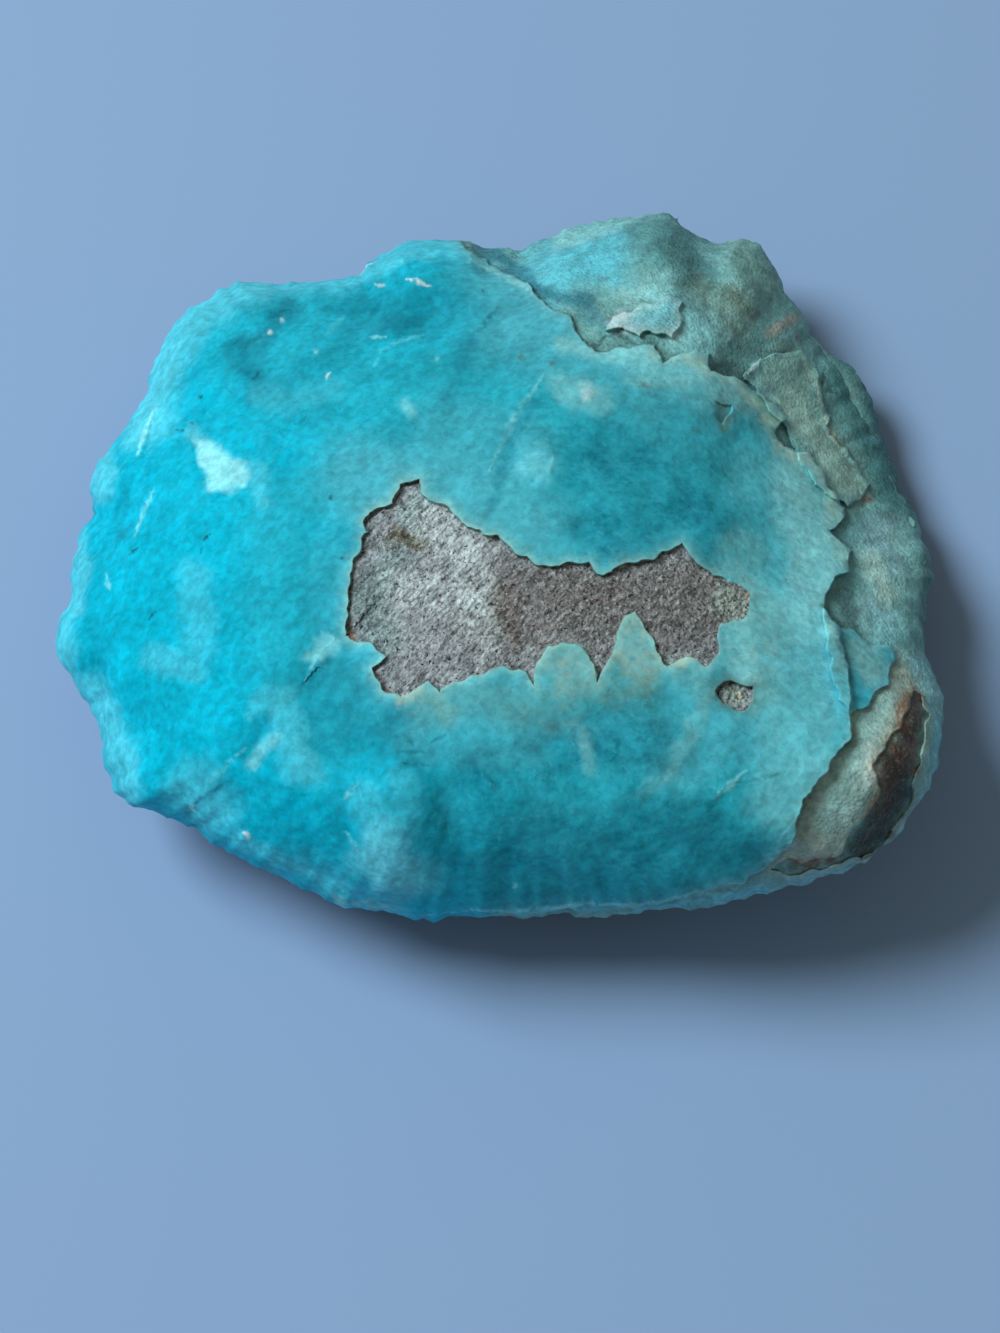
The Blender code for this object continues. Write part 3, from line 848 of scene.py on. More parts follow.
# The tones by their own names, in their order, for the tables of strokes.
(
    AQUA, SKY, MIST, FROST, SNOW, FOAM, LAGOON, HAZE, TEAL, DEEP, INK, SAGE, CREAM, IVORY, PEACH,
    OLIVE, RUST, BARK, UMBER, SOOT, ASH, MAUVE, STONE, MOSS, TAN, SLATE, CLOUD, LIMB, FLINT,
) = Tone


def strokes(*rows: tuple) -> tuple[Stroke, ...]:
    """Strokes from rows of tone, line on the face, half width, strength and, if it stands up, rise."""
    return tuple(Stroke(*row) for row in rows)


CRUST_STROKES = strokes(
    # broad tints
    (LAGOON, ((8.6, 17.6), (11.7, -23.1)), 18.4, 0.9),
    (LAGOON, ((-16.4, 18.4), (-6.3, 12.9)), 7.44, 0.5),
    (HAZE, ((1.6, 20.7), (11.0, 16.8), (15.7, 12.9)), 6.11, 0.55),
    (AQUA, ((-7.8, 18.4), (-3.1, 19.6)), 2.66, 0.4),
    (HAZE, ((-11.0, 6.7), (-3.9, 5.1), (2.3, 2.7)), 4.31, 0.6),
    (HAZE, ((-13.3, 0.4), (-13.3, -7.4), (-7.8, -12.1)), 2.35, 0.22),
    (TEAL, ((9.4, 7.8), (11.7, 2.0), (15.7, 1.6)), 4.85, 0.45),
    (LAGOON, ((14.9, 10.6), (18.8, 5.9), (20.4, 2.0)), 3.13, 0.5),
    # painted shade: darker over the lower front, which turns away from the light
    (TEAL, ((-2.3, -17.6), (1.6, -24.7), (11.0, -24.7)), 5.87, 0.3),
    (LAGOON, ((12.9, -23.7), (20.5, -22.9)), 1.88, 0.5),
    (HAZE, ((12.5, -10.6), (15.7, -9.8), (18.8, -12.1), (14.1, -15.3)), 3.52, 0.55),
    (HAZE, ((1.6, -10.6), (7.8, -12.1)), 3.13, 0.3),
    (FOAM, ((23.5, 9.0), (25.8, 5.1), (26.6, 0.4)), 1.72, 0.6),
    (SKY, ((22.7, 0.4), (25.1, -2.7), (26.6, -9.0), (26.5, -13.7), (24.3, -17.6)), 2.35, 0.55),
    (TEAL, ((21.1, -5.9), (23.1, -7.4)), 2.35, 0.35),
    (LAGOON, ((-16.4, 3.5), (-16.8, -5.9), (-13.3, -12.1)), 4.31, 0.55),
    (TEAL, ((-13.3, -9.8), (-7.8, -13.7)), 3.29, 0.4),
    (TEAL, ((3.9, -13.9), (11.7, -13.7)), 2.98, 0.7),
    (FOAM, ((21.1, 6.7), (23.5, 0.4), (23.9, -6.7), (23.5, -13.7), (22.7, -18.4)), 3.91, 0.48),
    (FOAM, ((18.4, -2.7), (20.5, -5.9), (19.6, -9.8)), 1.88, 0.4),
    (SAGE, ((-5.5, -11.5), (-1.6, -10.6), (4.7, -11.5)), 2.04, 0.42),
    (HAZE, ((-6.3, -13.5), (1.6, -14.1)), 2.35, 0.35),
    (TEAL, ((4.7, -11.0), (12.5, -10.7)), 1.72, 0.3),
    (TEAL, ((-14.3, -12.5), (-12.9, -15.0)), 1.88, 0.3),
    (TEAL, ((-0.8, -17.2), (2.3, -20.0)), 2.66, 0.25),
    # painted light: the lower left rim, which turns away from the lamp, is lightened, and the knob below the
    # window gets painted highlights
    (SKY, ((-25.4, -17.8), (-22.3, -19.8)), 1.72, 0.5),
    (SKY, ((-10.3, -23.3), (-5.9, -24.4)), 2.04, 0.65),
    (AQUA, ((-25.1, -15.3), (-22.6, -19.6)), 2.98, 0.5),
    (SKY, ((-23.8, -17.1), (-22.2, -19.3)), 2.35, 0.4),
    (FROST, ((-9.1, -21.8), (-8.0, -24.7)), 2.19, 0.35),
    (SKY, ((-17.2, -23.3), (-13.3, -24.7)), 1.72, 0.25),
    (AQUA, ((-20.4, -21.9), (-15.7, -24.0)), 2.04, 0.5),
    (TEAL, ((-13.7, -2.7), (-12.9, -6.7)), 2.19, 0.3),
    (MOSS, ((4.7, -10.4), (11.7, -10.3)), 1.88, 0.65),
    # painted light along the thin front rim, pale where light shines through its edge
    (
        FROST,
        ((-23.1, -21.7), (-20.4, -23.6), (-17.2, -25.3), (-13.3, -26.6), (-9.0, -27.6)),
        0.27,
        0.8,
        0.02,
    ),
    (
        FROST,
        ((-6.3, -27.4), (-1.6, -27.0), (4.7, -26.9), (11.0, -26.6), (15.7, -25.8), (19.2, -24.5)),
        0.23,
        0.6,
        0.02,
    ),
    (SKY, ((-20.5, -21.4), (-16.4, -23.7), (-12.1, -25.8), (-7.8, -26.9)), 0.78, 0.45),
    (HAZE, ((-3.9, 10.6), (1.6, 9.0)), 3.52, 0.35),
    # upper left
    (SKY, ((-27.6, 11.4), (-26.2, 16.8), (-23.5, 20.4), (-20.0, 21.9)), 2.19, 0.75),
    (SKY, ((-19.6, 22.1), (-11.7, 22.3), (-7.8, 24.7), (-3.9, 25.1)), 1.25, 0.6),
    (TEAL, ((-19.2, 19.2), (-13.3, 18.8), (-15.7, 14.5), (-19.6, 14.5)), 3.13, 0.15),
    (TEAL, ((-19.7, 17.2), (-18.2, 17.8), (-17.9, 19.3), (-16.4, 20.1)), 1.02, 0.6, -0.06),
    (DEEP, ((-20.1, 16.7), (-19.7, 17.4), (-18.6, 17.8)), 0.27, 0.7, -0.04),
    (DEEP, ((-18.2, 19.3), (-16.4, 20.1)), 0.27, 0.7, -0.04),
    (TEAL, ((-20.7, 16.8), (-19.6, 15.1), (-19.1, 13.3)), 1.1, 0.5),
    (INK, ((-18.6, 15.3), (-19.4, 14.5)), 0.2, 0.6, -0.02),
    (TEAL, ((-10.6, 19.6), (-7.8, 19.3), (-4.1, 20.5)), 2.04, 0.42),
    (DEEP, ((-9.0, 18.8), (-6.3, 19.2)), 0.7, 0.45),
    (TEAL, ((-2.3, 17.2), (-3.5, 14.5), (-4.1, 12.5)), 1.02, 0.5, -0.04),
    (DEEP, ((-2.3, 18.2), (-1.4, 18.8), (-0.8, 19.7), (-0.2, 20.4)), 0.31, 0.6),
    (SKY, ((-9.6, 16.8), (-7.8, 17.6), (-5.9, 18.1)), 0.31, 0.55, 0.02),
    (SKY, ((-10.0, 15.4), (-9.4, 16.7)), 0.23, 0.4, 0.02),
    (SKY, ((-13.7, 18.0), (-12.1, 19.6)), 0.39, 0.35, 0.02),
    (SKY, ((-18.6, 13.3), (-16.4, 12.9), (-13.3, 13.7)), 1.1, 0.25),
    (DEEP, ((-16.4, 11.5), (-15.8, 11.0), (-15.2, 11.8)), 0.2, 0.4, -0.02),
    (DEEP, ((-17.4, 10.4), (-16.4, 9.8)), 0.2, 0.3, -0.02),
    (DEEP, ((-21.5, 13.9), (-20.7, 13.2)), 0.16, 0.35, -0.02),
    # left
    (SKY, ((-29.1, 9.8), (-28.2, 10.6)), 0.94, 0.5),
    (FROST, ((-26.9, 12.3), (-27.7, 10.4), (-28.5, 8.6)), 0.35, 0.75, 0.06),
    (TEAL, ((-27.2, 11.0), (-28.1, 8.5)), 0.2, 0.5, -0.02),
    (SKY, ((-31.3, 8.6), (-31.6, 5.9)), 1.41, 0.7),
    (TEAL, ((-29.1, 6.5), (-29.8, 4.1), (-29.7, 2.0)), 0.63, 0.3, -0.04),
    (FROST, ((-27.1, 6.2), (-28.1, 4.3), (-28.6, 2.1)), 0.27, 0.5, 0.04),
    (SKY, ((-24.3, 10.4), (-23.5, 9.8)), 0.7, 0.6),
    (SKY, ((-19.1, 7.4), (-18.6, 5.1)), 0.94, 0.45),
    (SKY, ((-24.1, -0.8), (-23.5, -5.9)), 1.57, 0.35),
    (SKY, ((-26.8, -7.4), (-24.1, -8.2)), 1.33, 0.4),
    (FROST, ((-30.8, -0.8), (-30.5, -2.1)), 0.27, 0.5, 0.02),
    (SKY, ((-34.6, -4.3), (-34.0, -9.0)), 1.41, 0.6),
    (SKY, ((-33.0, 1.6), (-33.5, -2.7)), 1.17, 0.65),
    (SKY, ((-31.9, -9.8), (-29.6, -15.3), (-29.1, -18.4)), 1.57, 0.6),
    (TEAL, ((-31.7, -5.1), (-31.3, -7.8)), 0.94, 0.2),
    (INK, ((-28.9, 0.7), (-28.2, 1.5)), 0.17, 0.7, -0.04),
    (INK, ((-23.3, 1.9), (-22.7, 2.4)), 0.19, 0.8, -0.04),
    (DEEP, ((-23.5, 0.9), (-23.3, 1.5)), 0.14, 0.6, -0.02),
    (INK, ((-27.5, -4.3), (-27.0, -3.6)), 0.17, 0.7, -0.04),
    (INK, ((-23.4, 13.1),), 0.19, 0.9, -0.02),
    (INK, ((-25.4, 10.7), (-24.7, 10.6)), 0.19, 0.7, -0.02),
    (DEEP, ((-24.4, 11.4), (-24.0, 11.0)), 0.16, 0.5),
    (INK, ((-13.5, 7.2), (-13.0, 7.2)), 0.23, 0.85, -0.03),
    (INK, ((-13.2, 5.3),), 0.23, 0.8, -0.03),
    (INK, ((-12.4, 0.5),), 0.17, 0.8),
    (INK, ((-1.3, 23.3),), 0.23, 0.85, -0.02),
    (INK, ((-1.3, 21.5),), 0.17, 0.6),
    (OLIVE, ((1.7, 16.3),), 0.33, 0.7, -0.02),
    (OLIVE, ((4.1, 15.7),), 0.23, 0.7),
    # fold down the left: the fine frost and sky streaks along its edge are painted highlights, the teal
    # streaks below it painted shade
    (FROST, ((-15.0, -7.2), (-13.3, -6.1)), 0.7, 0.5, 0.02),
    (FROST, ((-12.9, -5.7), (-14.3, -7.0), (-15.3, -9.2)), 0.23, 0.5, 0.03),
    (TEAL, ((-13.7, -7.6), (-15.0, -9.2)), 0.63, 0.35),
    (TEAL, ((-15.8, -9.8), (-18.0, -11.7), (-19.6, -13.5), (-20.1, -14.5)), 0.7, 0.4, -0.02),
    (SKY, ((-18.6, -9.8), (-19.6, -11.7)), 0.63, 0.35, 0.02),
    (FROST, ((-17.5, -13.5), (-18.6, -14.3), (-19.4, -15.6)), 0.55, 0.5, 0.02),
    (SKY, ((-19.9, -14.3), (-21.5, -15.7), (-22.9, -17.2), (-23.3, -18.4)), 0.39, 0.55, 0.02),
    (TEAL, ((-21.3, -16.4), (-22.6, -18.1)), 0.31, 0.3),
    (FROST, ((-24.1, -19.1),), 0.39, 0.8, 0.03),
    (SKY, ((-17.0, -10.6), (-15.8, -16.1)), 1.57, 0.45),
    (SKY, ((-15.7, -14.1), (-14.7, -16.7)), 0.94, 0.35),
    # white grains and chips, partly painted glints where their edges catch the light
    (SNOW, ((-11.2, 23.1), (-9.9, 24.2)), 0.27, 0.9, 0.05),
    (SNOW, ((-9.9, 21.9), (-8.8, 21.9)), 0.23, 0.75, 0.03),
    (SNOW, ((-7.4, 22.3), (-6.4, 22.1), (-5.5, 21.8)), 0.27, 0.85, 0.03),
    (SKY, ((-8.0, 23.7), (-7.2, 23.3)), 0.31, 0.5),
    (SNOW, ((-18.0, 18.2),), 0.25, 0.75, 0.02),
    (SNOW, ((-17.1, 19.2),), 0.2, 0.55),
    (SNOW, ((-14.4, 16.8),), 0.23, 0.5),
    (SNOW, ((-13.7, 14.6), (-13.3, 15.2)), 0.23, 0.75, 0.02),
    (FROST, ((-10.2, 17.9), (-9.0, 17.9)), 0.2, 0.5),
    (FROST, ((-4.9, 16.1),), 0.23, 0.5),
    (FROST, ((-7.5, 12.6), (-6.9, 12.0)), 0.55, 0.45, 0.02),
    (SNOW, ((6.8, 13.6),), 0.63, 0.95, 0.06),
    (FOAM, ((4.9, 14.0), (7.8, 12.9)), 1.33, 0.5),
    (SNOW, ((-19.8, -21.1),), 0.33, 0.95, 0.03),
    (FROST, ((-21.1, -22.9), (-20.4, -23.4)), 0.31, 0.8, 0.02),
    (FOAM, ((-18.6, -24.0), (-17.5, -24.8)), 0.39, 0.8, 0.03),
    (FOAM, ((-13.3, -25.9), (-11.9, -26.7)), 0.39, 0.7, 0.03),
    (FOAM, ((-11.6, -26.5), (-8.2, -27.2)), 0.47, 0.6, 0.02),
    # knob: the frost and sky strokes are painted highlights on its top and lit left edge
    (FROST, ((-11.3, -17.3), (-12.2, -18.4)), 0.39, 0.55, 0.03),
    (FROST, ((-12.1, -20.9), (-11.0, -22.5)), 0.27, 0.45, 0.02),
    (SKY, ((-10.6, -18.4), (-9.0, -21.1), (-8.5, -23.7)), 1.8, 0.4),
    (SKY, ((-7.7, -16.8), (-6.9, -20.4)), 1.33, 0.3),
    (TEAL, ((-13.0, -18.4), (-12.5, -21.7)), 0.7, 0.3),
    (DEEP, ((-4.7, -18.0), (-4.4, -22.7)), 1.17, 0.3),
    (INK, ((-4.2, -19.8), (-4.4, -20.7)), 0.2, 0.7, -0.02),
    # marks below the window
    (DEEP, ((-8.4, -13.5), (-7.4, -13.3), (-6.7, -14.2)), 0.23, 0.5, -0.03),
    (DEEP, ((-8.0, -14.6), (-5.8, -14.6)), 0.23, 0.5, -0.03),
    (DEEP, ((-7.8, -15.5), (-5.5, -15.7)), 0.23, 0.55, -0.03),
    (DEEP, ((-5.5, -13.9), (-4.2, -13.3)), 0.23, 0.4, -0.02),
    (DEEP, ((-1.3, -16.2), (-0.4, -17.3)), 0.35, 0.5, -0.02),
    (TEAL, ((-12.1, -12.1), (-8.6, -14.1)), 1.25, 0.3),
    (FOAM, ((6.5, -13.2), (7.1, -16.1)), 0.55, 0.5, 0.03),
    (FOAM, ((4.1, -12.0), (7.8, -12.8)), 0.47, 0.25, 0.02),
    (TEAL, ((4.7, -14.9), (5.9, -15.7)), 0.63, 0.4, -0.02),
    (TEAL, ((7.8, -15.3), (9.8, -14.5)), 0.63, 0.3, -0.02),
    # upper centre
    (FOAM, ((3.5, 15.0), (1.2, 11.7), (-0.8, 7.4)), 0.43, 0.45, 0.05),
    (TEAL, ((2.6, 12.8), (0.9, 10.4), (-0.2, 6.5), (-0.8, 4.9)), 0.63, 0.5, -0.05),
    (SKY, ((2.6, 8.0), (2.8, 7.6)), 1.8, 0.8, 0.08),
    (FROST, ((2.5, 7.9), (2.9, 7.8)), 1.41, 0.35),
    (FROST, ((4.2, 8.6), (3.8, 7.0)), 0.2, 0.4, 0.02),
    (TEAL, ((7.8, 9.0), (10.6, 7.8)), 1.41, 0.5, -0.04),
    (DEEP, ((7.5, 9.9), (8.3, 8.8)), 0.39, 0.5),
    (DEEP, ((10.0, 8.2), (11.3, 8.6)), 0.39, 0.35),
    (TEAL, ((7.0, 2.6), (11.0, 1.0)), 2.04, 0.55),
    (TEAL, ((14.9, 4.3), (17.2, 3.4), (20.4, 3.7)), 1.57, 0.5),
    (DEEP, ((18.0, 6.6),), 0.23, 0.5),
    (DEEP, ((6.3, 3.5), (7.8, 3.7), (9.8, 4.5)), 0.31, 0.3),
    (DEEP, ((15.7, 4.7), (16.8, 4.1)), 0.31, 0.35),
    (SAGE, ((9.8, 14.5), (11.7, 14.2), (14.9, 14.3)), 0.55, 0.3),
    (RUST, ((11.4, 14.1),), 0.28, 0.8, -0.02),
    (OLIVE, ((10.8, 14.0), (11.9, 13.9)), 0.35, 0.5),
    (FOAM, ((-2.3, 24.0), (2.3, 21.8), (5.6, 19.2), (6.4, 17.8)), 0.39, 0.55, 0.02),
    (FOAM, ((12.9, 17.2), (16.1, 16.7)), 0.78, 0.6),
    # right border: pale cream edge with rust specks; the ivory and frost strokes along it are lighter still,
    # as painted light shining through the thin edge
    (SAGE, ((15.7, 16.1), (19.6, 13.5), (22.1, 10.4), (24.7, 7.0)), 1.57, 0.6),
    (IVORY, ((12.1, 16.7), (15.7, 15.9), (18.6, 14.3), (21.0, 12.6)), 0.63, 0.8),
    (IVORY, ((21.3, 11.5), (21.9, 10.1), (24.0, 8.2)), 0.94, 0.9),
    (CREAM, ((22.4, 9.3), (24.7, 7.6), (25.4, 6.2)), 0.7, 0.75),
    (IVORY, ((25.4, 5.7), (26.6, 4.1), (25.7, 2.7), (26.9, 0.7)), 0.86, 0.9),
    (IVORY, ((25.7, -0.9), (24.9, -3.4), (26.0, -5.1), (26.8, -7.8)), 0.55, 0.5),
    (FROST, ((27.6, -10.6), (27.3, -13.5), (25.8, -16.2), (24.0, -18.9), (21.9, -21.4)), 0.31, 0.65),
    (OLIVE, ((17.5, 12.6), (17.5, 11.0)), 0.63, 0.85, -0.05),
    (FOAM, ((4.7, 17.2), (7.8, 16.7), (12.5, 17.0)), 0.78, 0.6),
    (OLIVE, ((14.9, 10.6), (15.7, 10.3)), 0.23, 0.5),
    (RUST, ((24.0, 7.4), (24.4, 7.1)), 0.2, 0.7),
    (RUST, ((26.3, 5.2), (26.7, 4.7)), 0.23, 0.7, -0.02),
    (SAGE, ((21.5, 10.4), (23.5, 9.3), (24.9, 9.8)), 0.78, 0.75),
    (CREAM, ((22.6, 9.0), (24.4, 8.0)), 0.39, 0.7),
    (RUST, ((24.7, 8.1),), 0.25, 0.9, -0.02),
    (BARK, ((25.4, 6.9), (25.8, 5.9)), 0.28, 0.9, -0.06),
    (RUST, ((26.6, 8.8), (27.1, 9.0)), 0.23, 0.6),
    (OLIVE, ((22.2, 10.3), (22.9, 10.6)), 0.23, 0.6, -0.02),
    (FOAM, ((26.9, 4.7), (26.1, 2.7), (27.2, 1.0)), 0.7, 0.7),
    # lower right
    (FOAM, ((16.1, -10.6), (14.9, -13.3), (13.5, -16.4), (11.1, -17.8)), 0.7, 0.4, 0.08),
    (FOAM, ((19.3, -16.1), (17.8, -17.5), (16.8, -18.4)), 0.43, 0.6, 0.06),
    (DEEP, ((18.1, -17.1), (20.4, -16.8), (22.4, -16.2)), 0.25, 0.45, -0.03),
    # painted shade: darker low on the right front, which turns away from the light
    (TEAL, ((11.0, -18.0), (15.7, -20.9)), 2.19, 0.4),
    (TEAL, ((15.7, -22.5), (20.5, -22.3)), 1.41, 0.4),
    (FROST, ((1.2, -25.2),), 0.23, 0.6, 0.02),
    (FROST, ((8.8, 17.2), (12.5, 15.4), (15.7, 14.8), (18.8, 13.2)), 1.41, 0.4),
    (FOAM, ((11.0, 15.9), (17.2, 13.5)), 2.04, 0.3),
    (MIST, ((18.8, 9.0), (20.2, 3.5), (21.1, 0.0)), 2.98, 0.45),
    # painted light: the crust near the right edge, turned away from the lamp, is lightened as if lit through
    # its thin edge
    (FOAM, ((23.5, 5.9), (24.7, 0.4), (24.4, -2.7)), 2.04, 0.7),
    (FROST, ((23.2, 6.7), (24.6, 1.2), (24.0, -4.3)), 2.27, 0.75),
    (FOAM, ((18.9, 1.2), (20.4, -4.3), (20.0, -9.8)), 2.19, 0.5),
    (SAGE, ((14.1, -8.1), (15.7, -9.8)), 1.25, 0.4),
    (FOAM, ((18.0, -0.8), (21.5, -3.5)), 1.41, 0.3),
    (LAGOON, ((26.6, -13.7), (26.2, -15.3)), 0.94, 0.3),
    # flakes at the window
    (SAGE, ((11.1, -4.1), (10.0, -6.7), (11.4, -8.1)), 2.04, 0.85),
    (TAN, ((11.1, -4.5), (10.3, -6.7), (11.4, -7.8)), 1.57, 0.55),
    (IVORY, ((11.0, -4.1), (12.1, -6.3), (12.8, -7.6)), 0.23, 0.5, 0.01),
    (FOAM, ((11.4, -4.7), (12.1, -6.3), (13.0, -7.5)), 0.23, 0.55, 0.01),
    (SAGE, ((3.8, -7.0), (6.9, -8.1), (5.1, -9.6)), 1.88, 0.75),
    (TAN, ((4.1, -7.4), (6.6, -8.1), (5.2, -9.2)), 1.25, 0.35),
    (FOAM, ((4.1, -6.7), (7.0, -8.1)), 0.23, 0.5, 0.01),
    (FOAM, ((18.8, -5.2), (19.2, -8.4)), 1.49, 0.7),
    (FROST, ((18.6, -5.9), (19.2, -7.8)), 1.33, 0.4),
    (SAGE, ((7.8, -9.9), (11.4, -9.5)), 1.25, 0.5),
    (CREAM, ((13.2, -7.6), (15.0, -7.0)), 0.63, 0.5),
    (SAGE, ((-5.5, -10.6), (-3.9, -11.7)), 0.86, 0.5),
    (CREAM, ((-7.8, -10.6), (-6.3, -9.8)), 0.55, 0.35),
    # tongue
    (HAZE, ((27.4, -6.7), (29.4, -7.8)), 2.19, 0.85),
    (FOAM, ((28.3, -6.7), (29.1, -8.1)), 1.57, 0.75),
    (FOAM, ((28.0, -5.4), (29.8, -6.5), (30.8, -7.6), (30.2, -9.3)), 0.39, 0.45),
)
WINDOW_STROKES = strokes(
    (MAUVE, ((0.6, -3.5), (4.7, -2.7), (11.0, -3.5), (17.2, -2.7)), 4.85, 0.85),
    (BARK, ((-0.2, -2.0), (0.8, -5.9)), 1.25, 0.5),
    (BARK, ((4.7, -2.7), (9.4, -2.0)), 1.1, 0.2),
    (TAN, ((17.9, -2.7), (20.1, -3.7)), 1.57, 0.6),
    (PEACH, ((19.3, -2.1), (20.0, -3.1)), 0.47, 0.5),
    (STONE, ((-8.2, 0.4), (-10.6, -2.7), (-9.0, -5.9)), 1.72, 0.3),
    # painted shade along the window's left edge, and painted shadow lines under the crust's rim on its left
    # and top and in a notch below
    (SLATE, ((-9.8, 3.5), (-10.8, -1.2), (-10.6, -5.9), (-7.8, -9.0)), 1.1, 0.28),
    (STONE, ((-6.3, 5.1), (-7.4, 3.5)), 1.1, 0.35),
    (BARK, ((-10.5, 4.0), (-11.6, 0.4), (-11.9, -2.7), (-11.8, -5.4)), 0.28, 0.8),
    (BARK, ((-9.9, -8.1), (-8.9, -9.8), (-7.8, -10.7)), 0.27, 0.8),
    (BARK, ((-7.8, 6.3), (-6.4, 6.5)), 0.2, 0.6),
    (OLIVE, ((-8.2, 2.2), (-6.9, 1.9), (-5.8, 1.7)), 0.78, 0.8, -0.04),
    (BARK, ((-7.5, 2.0), (-6.9, 2.3)), 0.31, 0.6, -0.04),
    (OLIVE, ((-6.9, 3.1), (-6.0, 2.7)), 0.31, 0.6),
    (BARK, ((-7.8, 2.7), (-7.5, 1.8)), 0.31, 0.5),
    (INK, ((-7.8, 5.1), (-7.4, 4.3)), 0.41, 0.9, -0.12),
    (OLIVE, ((-1.3, 2.0), (0.0, 2.2)), 0.43, 0.7, -0.03),
    (PEACH, ((-11.7, -5.6),), 0.42, 0.85, 0.02),
    (BARK, ((-11.9, -4.9),), 0.3, 0.9, -0.04),
    # painted shade in the notches of the window's lower edge, over small dents
    (INK, ((-4.9, -9.9), (-3.9, -9.5)), 0.31, 0.85, -0.06),
    (INK, ((-3.8, -10.9),), 0.3, 0.8, -0.04),
    (INK, ((1.7, -8.3), (2.4, -9.0)), 0.25, 0.75, -0.04),
    (INK, ((7.8, -7.8), (7.9, -9.1)), 0.33, 0.8, -0.06),
    (BARK, ((8.3, -7.4), (8.8, -6.7)), 0.39, 0.5),
    # painted shadow along the right edge of the flake
    (BARK, ((12.5, -5.9), (13.2, -7.4)), 0.31, 0.5),
    (INK, ((12.5, 1.4), (13.5, 1.6)), 0.23, 0.6),
    (SAGE, ((11.7, -8.4), (14.1, -7.8)), 0.78, 0.5),
    (SNOW, ((-5.9, 3.5), (-2.3, 0.4), (-1.6, -2.7)), 1.88, 0.4),
    (SNOW, ((-7.8, -2.0), (-3.1, -2.7), (-0.8, -5.9)), 1.72, 0.3),
    (SAGE, ((18.6, -10.1),), 1.17, 0.55),
    (BARK, ((17.9, -9.9),), 0.47, 0.35),
    (CREAM, ((18.6, -9.9), (18.9, -10.7)), 0.47, 0.5, 0.04),
)
